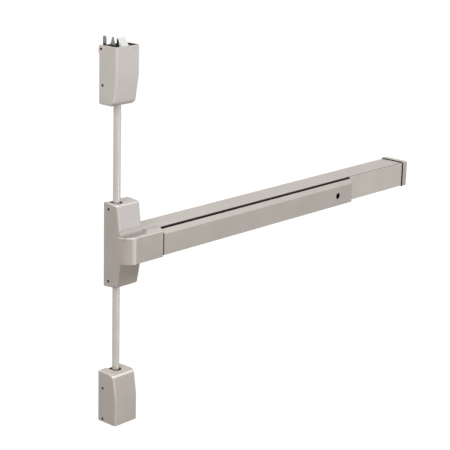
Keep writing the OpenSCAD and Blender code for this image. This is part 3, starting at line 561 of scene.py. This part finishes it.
# The same plate on the top latch's frame, with painted shade below its prongs
ZINC_SHADED_BELOW = TwoTone("zinc_plated_steel_painted_shade", "#9c9c99", "#7c7c79", metallic=0.3, roughness=0.5,
                      spread=0.10, patch_mm=14.0, grain_mm=1.2, bump_mm=0.015, below="#2e2b28",
                      border_mm=455.2)
# Dull iron phosphate with a film of oil on the plates inside the cases, made dark to paint the shade inside
# them
PHOSPHATE_SHADE = Finish("oiled_phosphate_painted_shade", "#55524e", "#3b3936", metallic=0.25, roughness=0.55, spread=0.08,
                   patch_mm=9.0, grain_mm=1.0, bump_mm=0.015)
# Painted shade: a dark colour on the inside of the covers and on the walls of their notches
INSIDE_SHADE = Finish("inside_painted_shade", "#3a3734", "#2b2927", metallic=0.0, roughness=0.62, spread=0.06,
                patch_mm=20.0, grain_mm=1.4, bump_mm=0.02)
# Painted shade: flat black on the faces that the gaps between the pieces show
GAP_SHADE = Finish("black_gap_painted_shade", "#1d1b19", "#141312", metallic=0.0, roughness=0.68, spread=0.06,
              patch_mm=6.0, grain_mm=0.8, bump_mm=0.02)
# Turned steel pins: dark bright metal with rings
PIN_STEEL = Turned("turned_steel", "#8f9094", "#76777b", metallic=1.0, roughness=0.28, spread=0.06,
                   patch_mm=10.0, grain_mm=0.8, bump_mm=0.008)
# Blackened screws: dull dark oxide that takes little light
SCREW_BLACK = Finish("black_oxide_screw", "#35322f", "#242220", metallic=0.6, roughness=0.48, spread=0.08,
                     patch_mm=3.0, grain_mm=0.5, bump_mm=0.01)
# Spring wire: dark drawn steel with oil left on it
SPRING_WIRE = Finish("drawn_spring_wire", "#6b6c70", "#4f5054", metallic=1.0, roughness=0.30, spread=0.08,
                     patch_mm=4.0, grain_mm=0.4, bump_mm=0.006)
# Machined and polished bolts: near white, ground along one way
BRIGHT_BOLT = Turned("ground_bright_steel", "#ececea", "#dadad8", metallic=0.7, roughness=0.24, spread=0.05,
                     patch_mm=12.0, grain_mm=0.6, bump_mm=0.006)
# Painted reflection on the sides of the wedge bolt: dark at the back, near white towards the front
BOLT_SIDE_REFLECTION = TwoTone("bolt_side_painted_reflection", "#4b4845", "#383633", metallic=0.5, roughness=0.45, spread=0.08,
                    patch_mm=5.0, grain_mm=0.8, bump_mm=0.02, below="#f0f0ee", border_mm=-38.0, across="Y")
# Black nylon bushes: dull and soft
NYLON = Finish("black_nylon", "#2a2826", "#201e1d", metallic=0.0, roughness=0.45, spread=0.06, patch_mm=6.0,
               grain_mm=0.7, bump_mm=0.012)
# Black felt round the lower rod, dull and hairy: a dark sheet that paints the shade seen through the notch
NOTCH_SHADE_FELT = Finish("black_felt_painted_shade", "#1c1a18", "#121110", metallic=0.0, roughness=0.85, spread=0.06,
              patch_mm=2.0, grain_mm=0.4, bump_mm=0.05)
# Moulded dark plugs, with the matte skin of a textured mould
DARK_PLUG = Finish("moulded_dark_plastic", "#25231f", "#1b1a18", metallic=0.0, roughness=0.55, spread=0.08,
                   patch_mm=8.0, grain_mm=0.6, bump_mm=0.02)


def finish_mesh(bm: bmesh.types.BMesh, name: str) -> bpy.types.Object:
    """Make an object of a bmesh, smooth where its faces meet at a low angle.

    Args:
        bm: The mesh. It is freed.
        name: The object's name.

    Returns:
        The object, at the origin.
    """
    for face in bm.faces:
        face.smooth = True
    for edge in bm.edges:
        edge.smooth = edge.is_manifold and edge.calc_face_angle(math.pi) < SMOOTH_BELOW
    mesh = bpy.data.meshes.new(name)
    bm.to_mesh(mesh)
    bm.free()
    made = bpy.data.objects.new(name, mesh)
    bpy.context.scene.collection.objects.link(made)
    return made


def dress(piece: bpy.types.Object, finish: Finish, body: Body, node: str = "") -> None:
    """Give a new piece its finish and its body, and hide the node that it stands for.

    Args:
        piece: The piece.
        finish: The finish.
        body: The body that it rides on.
        node: The CAD node that it stands for, or an empty name where there is none.
    """
    piece.data.materials.clear()
    piece.data.materials.append(finish.material())
    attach(piece, body.value)
    if node:
        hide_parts(node)
    LOG.info("%s made, with %d faces", piece.name, len(piece.data.polygons))


def paint(node: str, finish: Finish) -> None:
    """Give a CAD node that stays in view its finish.

    Args:
        node: The node's name.
        finish: The finish.
    """
    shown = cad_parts[node]
    if not shown.material_slots:
        shown.data.materials.append(finish.material())
    for slot in shown.material_slots:
        slot.material = finish.material()


def softened(node: str, name: str, edge_mm: float) -> bpy.types.Object:
    """Make a copy of a CAD node with welded points, flat faces joined and its sharp edges rounded.

    Args:
        node: The node to copy.
        name: The new piece's name.
        edge_mm: Width of the rounded edges.

    Returns:
        The new piece.
    """
    bm = bmesh.new()
    bm.from_mesh(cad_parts[node].data)
    bmesh.ops.remove_doubles(bm, verts=bm.verts, dist=WELD)
    bmesh.ops.dissolve_limit(bm, angle_limit=FLAT_BELOW, verts=bm.verts, edges=bm.edges)
    sharp = [e for e in bm.edges if e.is_manifold and e.calc_face_angle(0.0) > SMOOTH_BELOW]
    bmesh.ops.bevel(bm, geom=sharp, offset=edge_mm * MM, offset_type="OFFSET", segments=EDGE_FACES,
                    profile=0.5, affect="EDGES", clamp_overlap=True, material=-1)
    bmesh.ops.triangulate(bm, faces=[f for f in bm.faces if len(f.verts) > 4])
    piece = finish_mesh(bm, name)
    shading = piece.modifiers.new("flat_faces_stay_flat", "WEIGHTED_NORMAL")
    shading.keep_sharp = True
    return piece


def lathe(bm: bmesh.types.BMesh, outline: Outline, place: Place, socket: float) -> None:
    """Spin an outline into a solid, with a hexagonal socket if it has one.

    Args:
        bm: The mesh in mm that takes the solid.
        outline: Radius and height of each corner in mm, from the axis round to the axis.
        place: Where the heights start, and where they go.
        socket: Radius of the socket's corners, or 0.
    """
    before = set(bm.verts)
    start, turn = Vector(place[0]), Vector(UP).rotation_difference(Vector(place[1]))
    points = [bm.verts.new(start + turn @ Vector((radius, 0.0, height))) for radius, height in outline]
    edges = [bm.edges.new(pair) for pair in zip(points, points[1:])]
    bmesh.ops.spin(bm, geom=points + edges, cent=start, axis=turn @ Vector(UP),
                   angle=math.tau, steps=TURNED_FACES, use_merge=True)
    spun = [vert for vert in bm.verts if vert not in before]
    bmesh.ops.remove_doubles(bm, verts=spun, dist=WELD_MM)
    for vert in (v for v in bm.verts if v not in before):
        local = turn.inverted() @ (vert.co - start)
        if socket and abs(local.xy.length - socket) < WELD_MM:
            part = math.degrees(math.atan2(local.y, local.x)) % HEXAGON - HEXAGON / 2
            flat = math.cos(math.radians(HEXAGON / 2)) / math.cos(math.radians(part))
            vert.co = start + turn @ Vector((local.x * flat, local.y * flat, local.z))


def coil(bm: bmesh.types.BMesh, place: Place, radius: float, wire: float, length: float, turns: int) -> None:
    """Sweep a wire into a spring.

    Args:
        bm: The mesh in mm that takes the spring.
        place: Middle of its first end, and where it goes.
        radius: Radius of the coil's middle line.
        wire: Radius of the wire.
        length: Length of the spring.
        turns: Number of turns.
    """
    steps = turns * COIL_STEPS
    start, turn = Vector(place[0]), Vector(UP).rotation_difference(Vector(place[1]))
    axis = turn @ Vector(UP)
    end = Matrix.Translation(start) @ turn.to_matrix().to_4x4() @ Matrix.Translation(
        (radius, 0.0, wire)) @ Matrix.Rotation(math.pi / 2, 4, "X")
    ring = bmesh.ops.create_circle(bm, cap_ends=False, radius=wire, segments=WIRE_FACES, matrix=end)["verts"]
    edges = {edge for vert in ring for edge in vert.link_edges}
    bmesh.ops.spin(bm, geom=ring + list(edges), cent=start, axis=axis, angle=math.tau * turns, steps=steps,
                   dvec=axis * ((length - 2 * wire) / steps))
    bmesh.ops.holes_fill(bm, edges=[edge for edge in bm.edges if edge.is_boundary])


def machined(bm: bmesh.types.BMesh, name: str) -> bpy.types.Object:
    """Turn the faces of a mesh drawn in mm outwards and make an object of it.

    Args:
        bm: The mesh in mm. It is freed.
        name: The object's name.

    Returns:
        The object in metres, at the origin.
    """
    bmesh.ops.recalc_face_normals(bm, faces=bm.faces)
    bmesh.ops.scale(bm, vec=(MM, MM, MM), verts=bm.verts)
    return finish_mesh(bm, name)


def part_finish(piece: bpy.types.Object, finish: Finish, chosen: FaceTest) -> None:
    """Give some faces of a piece a finish of their own.

    Args:
        piece: The piece.
        finish: The finish of those faces.
        chosen: Says of a face's centre and normal whether it is one of them.
    """
    piece.data.materials.append(finish.material())
    last = len(piece.data.materials) - 1
    for face in piece.data.polygons:
        if chosen(face.center, face.normal):
            face.material_index = last


def inside(node: str) -> FaceTest:
    """Tell the inner faces of a shell from its outer ones.

    Args:
        node: The shell's node.

    Returns:
        A test of a face's centre and normal.
    """
    low, high = (Vector(corner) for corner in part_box(node))
    middle = (low + high) / 2
    return lambda center, normal: (center - middle).dot(normal) < 0.0


@dataclass(frozen=True)
class Turnings:
    """Equal turned pieces that stand for one CAD node.

    Attributes:
        node: The node.
        name: The new piece's name.
        finish: Its finish.
        slot: Its slot; not used.
        outline: Outline of one piece.
        places: Where each piece starts, and where it goes.
        socket: Radius of the corners of its socket, or 0.
    """

    node: str
    name: str
    finish: Finish
    slot: Slot
    outline: Outline
    places: tuple[Place, ...]
    socket: float = 0.0

    def build(self) -> None:
        """Make the pieces on the device's frame."""
        bm = bmesh.new()
        for place in self.places:
            lathe(bm, self.outline, place, self.socket)
        dress(machined(bm, self.name), self.finish, Body.FRAME, self.node)


@dataclass(frozen=True)
class NotchShadeWiper:
    """A black felt plate round a rod, just inside the notch of a cover, that paints the shade seen through
    the notch. It has no CAD node of its own.

    Attributes:
        name: The piece's name.
        z: Height of its upper side in mm.
        depths: Nearest and farthest depth in mm.
        half_width: Half of its width in mm.
        bore: Radius of its hole in mm.
        thick: Thickness in mm.
    """

    name: str
    z: float
    depths: Pair = (3.4, 33.8)
    half_width: float = 12.2
    bore: float = 8.9
    thick: float = 2.0

    def build(self) -> None:
        """Make the plate on the device's frame."""
        bm = bmesh.new()
        near, far = self.depths
        corners = [bm.verts.new((ROD_X + x * self.half_width, -depth, self.z))
                   for x, depth in ((-1, near), (1, near), (1, far), (-1, far))]
        outer = [bm.edges.new((corners[i], corners[i - 1])) for i in range(4)]
        hole = bmesh.ops.create_circle(bm, cap_ends=False, radius=self.bore, segments=BORE_FACES,
                                       matrix=Matrix.Translation((ROD_X, -ROD_DEPTH, self.z)))["verts"]
        inner = list({edge for vert in hole for edge in vert.link_edges})
        bmesh.ops.bridge_loops(bm, edges=outer + inner)
        lower = bmesh.ops.extrude_face_region(bm, geom=bm.faces[:])["geom"]
        bmesh.ops.translate(bm, vec=(0.0, 0.0, -self.thick),
                            verts=[part for part in lower if isinstance(part, bmesh.types.BMVert)])
        dress(machined(bm, self.name), NOTCH_SHADE_FELT, Body.FRAME)


@dataclass(frozen=True)
class Springs:
    """Equal springs that stand for one CAD node.

    Attributes:
        node: The node.
        name: The new piece's name.
        body: The body that they ride on.
        places: Where each spring starts, and where it goes.
        radius: Radius of the coil in mm.
        wire: Radius of the wire in mm.
        length: Length of a spring at rest in mm.
        joint: The joint that presses it; not used.
        travel: How far the joint presses it in mm; not used.
        far_moves: Whether its far end is the one that moves; not used.
        turns: Number of turns.
    """

    node: str
    name: str
    body: Body
    places: tuple[Place, ...]
    radius: float
    wire: float
    length: float
    joint: str
    travel: float
    far_moves: bool
    turns: int = 8

    def build(self) -> None:
        """Make the springs."""
        bm = bmesh.new()
        for place in self.places:
            coil(bm, place, self.radius, self.wire, self.length, self.turns)
        piece = machined(bm, self.name)
        dress(piece, SPRING_WIRE, self.body, self.node)
        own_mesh(piece)


def both_sides(left: float, right: float, spots: tuple[Pair, ...]) -> tuple[Place, ...]:
    """Place screws in both side walls of a cover.

    Args:
        left: X of the left wall's outside in mm.
        right: X of the right wall's outside in mm.
        spots: Depth and height of each screw in mm.

    Returns:
        Where each screw starts, and where it goes.
    """
    return tuple(((x, -depth, z), way) for x, way in ((left, RIGHT), (right, LEFT)) for depth, z in spots)


Made = Turnings | Springs | NotchShadeWiper
Over = tuple[str, str, Body, Finish, Slot, float]
Second = tuple[Finish, FaceTest]


@dataclass
class Assembly:
    """A sub-assembly: the CAD nodes that stay in view and the pieces made over the others.

    Attributes:
        painted: Nodes that stay in view, with their finishes.
        over: Node, new piece's name, body, finish, slot and width of the rounded edges in mm.
        second: Nodes whose pieces have a second finish, and the test of the faces that take it.
        made: Pieces that are drawn anew.
    """

    painted: dict[str, Finish] = field(default_factory=dict)
    over: list[Over] = field(default_factory=list)
    second: dict[str, Second] = field(default_factory=dict)
    made: tuple[Made, ...] = ()

    def build(self) -> None:
        """Make the pieces over their nodes, and paint the nodes that stay."""
        for group in self.made:
            group.build()
        for node, name, body, finish, slot, edge_mm in self.over:
            piece = softened(node, name, edge_mm)
            dress(piece, finish, body, node)
            if node in self.second:
                part_finish(piece, *self.second[node])
        for node, finish in self.painted.items():
            paint(node, finish)
            LOG.info("%s painted with %s", node, finish.name)


def in_case(node: str, half_notch: float = 12.7, notch_depth: float = 35.4) -> FaceTest:
    """Tell the inner faces of a cover, and the walls of its notches for the rods, from its outer ones.

    Args:
        node: The cover's node.
        half_notch: Reach of the dark walls from the rods' middle line, in mm.
        notch_depth: Their reach from the door, in mm.

    Returns:
        A test of a face's centre and normal.
    """
    within = inside(node)

    def unseen(center: Vector, normal: Vector) -> bool:
        at_notch = abs(center.x / MM - ROD_X) < half_notch and center.y / MM > -notch_depth
        return within(center, normal) or at_notch and abs(normal.z) < UPRIGHT

    return unseen


def on_seam(height: float) -> FaceTest:
    """Tell the top strip of the rail's end cover, next to its seam.

    Args:
        height: Where the strip starts, in mm.

    Returns:
        A test of a face's centre and normal.
    """
    return lambda center, normal: normal.z > STRAIGHT and center.z > height * MM


def in_groove(node: str) -> FaceTest:
    """Tell the rail's inner faces and the front edges of its lips, which the shadow gaps show.

    Args:
        node: The rail's node.

    Returns:
        A test of a face's centre and normal.
    """
    within = inside(node)
    return lambda center, normal: within(center, normal) or normal.y < -LEANING


def faces_rail(node: str, reach: float) -> FaceTest:
    """Tell the end cap's faces that look at the rail's end.

    Args:
        node: The rail's node.
        reach: How far past the rail's end they go, in mm.

    Returns:
        A test of a face's centre and normal.
    """
    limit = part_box(node)[1][0] + reach * MM
    return lambda center, normal: normal.x < -STRAIGHT or center.x < limit


def behind_pad(depth: float) -> FaceTest:
    """Tell the touch bar's faces inside the rail, and those that look at the door.

    Args:
        depth: Where the part inside the rail ends, in mm.

    Returns:
        A test of a face's centre and normal.
    """
    return lambda center, normal: normal.y > DOORWARD or normal.z > -LEANING and center.y > -depth * MM


def bolt_side(center: Vector, normal: Vector) -> bool:
    """Tell the flat sides of the wedge bolt.

    Args:
        center: The face's centre.
        normal: The face's normal.

    Returns:
        Whether the face is one of them.
    """
    return abs(normal.x) > STRAIGHT


@dataclass
class CentreCase(Assembly):
    """The case between the rods, with its rail head and the levers inside."""

    painted: dict[str, Finish] = field(default_factory=lambda: dict.fromkeys(
        ("centre_base", "upper_guide", "lower_guide"), PHOSPHATE_SHADE))
    over: list[Over] = field(default_factory=lambda: [
        ("guide_bushes", "rod_bushes", Body.FRAME, NYLON, Slot.NYLON, 0.4),
        ("upper_lever", "upper_lift_lever", Body.UPPER_LEVER, ZINC, Slot.ZINC, 0.35),
        ("lower_lever", "lower_lift_lever", Body.LOWER_LEVER, ZINC, Slot.ZINC, 0.35),
        ("upper_connector", "upper_rod_yoke", Body.UPPER_ROD, ZINC, Slot.ZINC, 0.35),
        ("lower_connector", "lower_rod_yoke", Body.LOWER_ROD, ZINC, Slot.ZINC, 0.35),
        ("centre_cover", "centre_case_cover", Body.FRAME, SATIN_MOULDED, Slot.SATIN, 0.5)])
    # Painted shade on the inside of the cover and on its notch walls
    second: dict[str, Second] = field(default_factory=lambda: {
        "centre_cover": (INSIDE_SHADE, in_case("centre_cover"))})
    made: tuple[Made, ...] = (
        Turnings("centre_cover_screws", "centre_socket_screws", SCREW_BLACK, Slot.SCREW, COVER_SCREW,
                 both_sides(-36.0, 36.0, ((17.8, 83.7), (17.8, -83.7))), COVER_SOCKET),
        Turnings("lever_posts", "shouldered_lever_posts", PIN_STEEL, Slot.PIN, LEVER_POST,
                 tuple(((LEVER_X, 0.0, z), OUTWARDS) for z in (LEVER_Z, -LEVER_Z))))


@dataclass
class PushRail(Assembly):
    """The rail with its touch bar, and the cranks and the link bar behind it."""

    painted: dict[str, Finish] = field(default_factory=lambda: dict.fromkeys(
        ("near_crank_bracket", "far_crank_bracket", "end_bracket", "dogging_bracket", "near_drive_bracket",
         "far_drive_bracket"), ZINC))
    over: list[Over] = field(default_factory=lambda: [
        ("touch_bar_ends", "pad_end_plugs", Body.BAR, DARK_PLUG, Slot.DARK, 0.4),
        ("near_crank", "near_bell_crank", Body.NEAR_CRANK, ZINC, Slot.ZINC, 0.35),
        ("far_crank", "far_bell_crank", Body.FAR_CRANK, ZINC, Slot.ZINC, 0.35),
        ("link_bar", "pull_strip", Body.LINK, ZINC, Slot.ZINC, 0.35),
        ("dogging_screw", "dogging_key_screw", Body.DOGGING, SCREW_BLACK, Slot.SCREW, 0.3),
        ("rail_channel", "rail_extrusion", Body.FRAME, SATIN_RAIL, Slot.RAIL, 0.4),
        ("touch_bar", "push_pad", Body.BAR, SATIN_RAIL, Slot.RAIL, 0.4),
        ("end_filler", "rail_end_cover", Body.FRAME, SATIN_END, Slot.RAIL, 0.4),
        ("end_cap", "rail_end_cap", Body.FRAME, SATIN_COVER, Slot.SATIN, 0.4)])
    # Painted shade on the faces that the gaps show
    second: dict[str, Second] = field(default_factory=lambda: {
        "rail_channel": (GAP_SHADE, in_groove("rail_channel")), "touch_bar": (GAP_SHADE, behind_pad(69.0)),
        "end_cap": (GAP_SHADE, faces_rail("rail_channel", 1.8)), "end_filler": (GAP_SHADE, on_seam(31.0))})
    made: tuple[Made, ...] = (
        Turnings("rail_screws", "rail_socket_screws", SCREW_BLACK, Slot.SCREW, RAIL_SCREW,
                 tuple(((57.2, 0.0, z), OUTWARDS) for z in (18.9, -18.9)), RAIL_SOCKET),
        Turnings("crank_pins", "headed_crank_pins", PIN_STEEL, Slot.PIN, CRANK_PIN,
                 tuple(((x, -CRANK_DEPTH, 0.0), UP) for x in CRANK_XS)),
        Springs("return_springs", "wound_return_springs", Body.BAR,
                tuple(((x, -48.15, 9.0), OUTWARDS) for x in SPRING_XS), radius=4.1, wire=0.6, length=29.7,
                joint="touch_bar_push", travel=12.0, far_moves=True))


@dataclass
class RodsAndLatches(Assembly):
    """The rods, and the latch cases at their ends."""

    painted: dict[str, Finish] = field(default_factory=lambda: {
        "top_base": ZINC_SHADED_BELOW, "latch_lift_pin": PIN_STEEL, "bottom_base": PHOSPHATE_SHADE})
    over: list[Over] = field(default_factory=lambda: [
        ("latch_lift", "lift_fork", Body.UPPER_ROD, PHOSPHATE_SHADE, Slot.ZINC, 0.35),
        ("top_cover", "top_latch_cover", Body.FRAME, SATIN_LATCH, Slot.SATIN, 0.5),
        ("bottom_cover", "bottom_latch_cover", Body.FRAME, SATIN_FOOT, Slot.SATIN, 0.5),
        ("upper_rod", "upper_pull_rod", Body.UPPER_ROD, SATIN_ROD_SHADED, Slot.ROD, 0.6),
        ("lower_rod", "lower_pull_rod", Body.LOWER_ROD, SATIN_LOW_ROD_SHADED, Slot.ROD, 0.6),
        ("latch_bolt", "wedge_bolt", Body.LATCH, BRIGHT_BOLT, Slot.BRIGHT, 0.5),
        ("bottom_bolt", "floor_bolt", Body.LOWER_ROD, BRIGHT_BOLT, Slot.BRIGHT, 0.6)])
    # Painted shade inside the covers, and a painted reflection on the wedge bolt's sides
    second: dict[str, Second] = field(default_factory=lambda: {
        "top_cover": (INSIDE_SHADE, in_case("top_cover")), "bottom_cover": (INSIDE_SHADE, in_case("bottom_cover")),
        "latch_bolt": (BOLT_SIDE_REFLECTION, bolt_side)})
    made: tuple[Made, ...] = (
        Turnings("top_cover_screws", "top_socket_screws", SCREW_BLACK, Slot.SCREW, COVER_SCREW,
                 both_sides(-51.65, 19.95, ((8.2, 443.6), (13.4, 364.6))), COVER_SOCKET),
        Turnings("bottom_cover_screws", "bottom_socket_screws", SCREW_BLACK, Slot.SCREW, COVER_SCREW,
                 both_sides(-51.35, 19.65, ((16.8, -339.5), (16.8, -414.5))), COVER_SOCKET),
        Turnings("latch_pivot_pin", "headed_latch_pin", PIN_STEEL, Slot.PIN, LATCH_PIN,
                 (((ROD_X, -13.0, 430.0), RIGHT),)),
        Springs("bolt_spring", "wound_bolt_spring", Body.LOWER_ROD,
                (((ROD_X, -ROD_DEPTH, -359.8), UP),), radius=10.2, wire=0.7, length=44.5,
                joint="lower_rod_slide", travel=10.25, far_moves=False),
        # A black felt plate that paints the shade seen through the notch
        NotchShadeWiper("bottom_notch_shade_felt", -302.2))


@dataclass(frozen=True)
class Lamp:
    """A soft light, hung on a sphere round the device.

    Attributes:
        name: The light's name.
        azimuth: Its side, in degrees to the right of straight in front of the door.
        elevation: Its height above the horizon, in degrees.
        distance: How far it hangs from the device, in metres.
        size: Width and height in metres.
        power: Power in watts.
        color: Its colour in linear light.
    """

    name: str
    azimuth: float
    elevation: float
    distance: float
    size: Pair
    power: float
    color: tuple[float, float, float] = (1.0, 1.0, 1.0)

    def hang(self, target: Vector) -> None:
        """Put the light in its place, turned to the target.

        Args:
            target: What it points at.
        """
        side, rise = math.radians(self.azimuth), math.radians(self.elevation)
        way = Vector((math.sin(side) * math.cos(rise), -math.cos(side) * math.cos(rise), math.sin(rise)))
        data = bpy.data.lights.new(self.name, "AREA")
        data.shape = "RECTANGLE"
        data.size, data.size_y = self.size
        data.energy = self.power
        data.color = self.color
        lamp = bpy.data.objects.new(self.name, data)
        lamp.location = target + way * self.distance
        lamp.rotation_euler = (-way).to_track_quat("-Z", "Y").to_euler()
        bpy.context.scene.collection.objects.link(lamp)


@dataclass
class Studio:
    """The camera at the photograph's angle, the pale floor and the soft lights.

    Attributes:
        eye: Camera's place in metres.
        yaw: Turn of the camera to the right of +Y, in degrees.
        pitch: Tilt of the camera below the horizon, in degrees.
        roll: Lean of the camera, in degrees.
        lens: Focal length for a picture 36 mm wide.
        floor_z: Height of the floor.
        floor_size: Half of the floor's width.
        floor_color: sRGB colour of the floor.
        floor_glow: How white the floor shows.
        room_color: sRGB colour of the even light.
        ambient: Strength of the even light.
        target: What the lamps point at.
        lamps: The lamps.
    """

    eye: Point = (-2.26590, -2.35418, 0.96836)
    yaw: float = 48.281
    pitch: float = 15.839
    roll: float = 1.546
    lens: float = 120.0
    floor_z: float = -1.0
    floor_size: float = 30.0
    floor_color: str = "#6c6863"
    floor_glow: float = 0.98
    room_color: str = "#fff9f3"
    ambient: float = 0.33
    target: Point = (0.35, 0.0, 0.0)
    lamps: tuple[Lamp, ...] = (Lamp("key_light", 8.0, 52.0, 3.0, (0.9, 0.9), 45.5, (0.94, 0.97, 1.0)),
                               Lamp("side_light", -80.0, 35.0, 3.0, (1.5, 1.5), 30.0),
                               Lamp("corner_light", -44.0, 14.0, 3.0, (0.6, 0.6), 10.0),
                               Lamp("strip_light", 10.0, -14.0, 2.2, (0.2, 0.7), 4.0))

    def build(self) -> None:
        """Make the camera, the floor, the world and the lamps."""
        self.camera()
        self.floor()
        self.world()
        for lamp in self.lamps:
            lamp.hang(Vector(self.target))
        bpy.context.scene.view_settings.view_transform = "Standard"

    def camera(self) -> None:
        """Set the camera where the photograph was taken from."""
        yaw, pitch, roll = (math.radians(a) for a in (self.yaw, self.pitch, self.roll))
        ahead = Vector((math.sin(yaw) * math.cos(pitch), math.cos(yaw) * math.cos(pitch), -math.sin(pitch)))
        right = Vector((math.cos(yaw), -math.sin(yaw), 0.0))
        up = right.cross(ahead)
        leaned_right = right * math.cos(roll) + up * math.sin(roll)
        leaned_up = up * math.cos(roll) - right * math.sin(roll)
        data = bpy.data.cameras.new("photo_camera")
        data.lens = self.lens
        data.sensor_width = PICTURE_WIDTH
        camera = bpy.data.objects.new("photo_camera", data)
        turn = Matrix((leaned_right, leaned_up, -ahead)).transposed()
        camera.matrix_world = Matrix.Translation(self.eye) @ turn.to_4x4()
        bpy.context.scene.collection.objects.link(camera)
        bpy.context.scene.camera = camera

    def floor(self) -> None:
        """Lay a wide pale floor under the device."""
        bm = bmesh.new()
        bmesh.ops.create_grid(bm, x_segments=1, y_segments=1, size=self.floor_size,
                              matrix=Matrix.Translation((0.0, 0.0, self.floor_z)))
        floor = finish_mesh(bm, "studio_floor")
        floor.data.materials.append(self.backdrop())

    def backdrop(self) -> bpy.types.Material:
        """Make a pale surface that shows white to the camera and in reflections.

        Returns:
            The material.
        """
        made = bpy.data.materials.new("pale_floor_paint")
        made.use_nodes = True
        tree = made.node_tree
        tree.nodes.clear()
        pale = add_node(tree, "ShaderNodeBsdfDiffuse", None, {"Color": linear(self.floor_color)})
        glow = add_node(tree, "ShaderNodeEmission", None, {
            "Color": linear("#ffffff"), "Strength": self.floor_glow})
        lit = add_node(tree, "ShaderNodeAddShader", None, {0: pale.outputs[0], 1: glow.outputs[0]})
        mix = add_node(tree, "ShaderNodeMixShader", None, {
            0: self.seen_directly(tree), 1: pale.outputs[0], 2: lit.outputs[0]})
        add_node(tree, "ShaderNodeOutputMaterial", None, {"Surface": mix.outputs[0]})
        return made

    def seen_directly(self, tree: NodeTree) -> NodeSocket:
        """Tell rays that show the background from those that only carry light.

        Args:
            tree: A node tree.

        Returns:
            1 for rays of the camera, of reflections and through glass.
        """
        path = add_node(tree, "ShaderNodeLightPath")
        two = add_node(tree, "ShaderNodeMath", {"operation": "MAXIMUM"}, {
            0: path.outputs["Is Camera Ray"], 1: path.outputs["Is Glossy Ray"]})
        three = add_node(tree, "ShaderNodeMath", {"operation": "MAXIMUM"}, {
            0: two.outputs[0], 1: path.outputs["Is Transmission Ray"]})
        return three.outputs[0]

    def world(self) -> None:
        """Light the room evenly, and show it white."""
        world = bpy.data.worlds.new("studio")
        bpy.context.scene.world = world
        world.use_nodes = True
        tree = world.node_tree
        tree.nodes.clear()
        room = add_node(tree, "ShaderNodeBackground", None, {
            "Color": linear(self.room_color), "Strength": self.ambient})
        shown = add_node(tree, "ShaderNodeBackground", None, {"Color": linear("#ffffff"), "Strength": 1.0})
        mix = add_node(tree, "ShaderNodeMixShader", None, {
            0: self.seen_directly(tree), 1: room.outputs[0], 2: shown.outputs[0]})
        add_node(tree, "ShaderNodeOutputWorld", None, {"Surface": mix.outputs[0]})


def main() -> None:
    """Build the studio and the device."""
    logging.basicConfig(level=logging.INFO, format="%(message)s")
    Studio().build()
    for assembly in (CentreCase(), PushRail(), RodsAndLatches()):
        assembly.build()


if __name__ == "__main__":
    main()
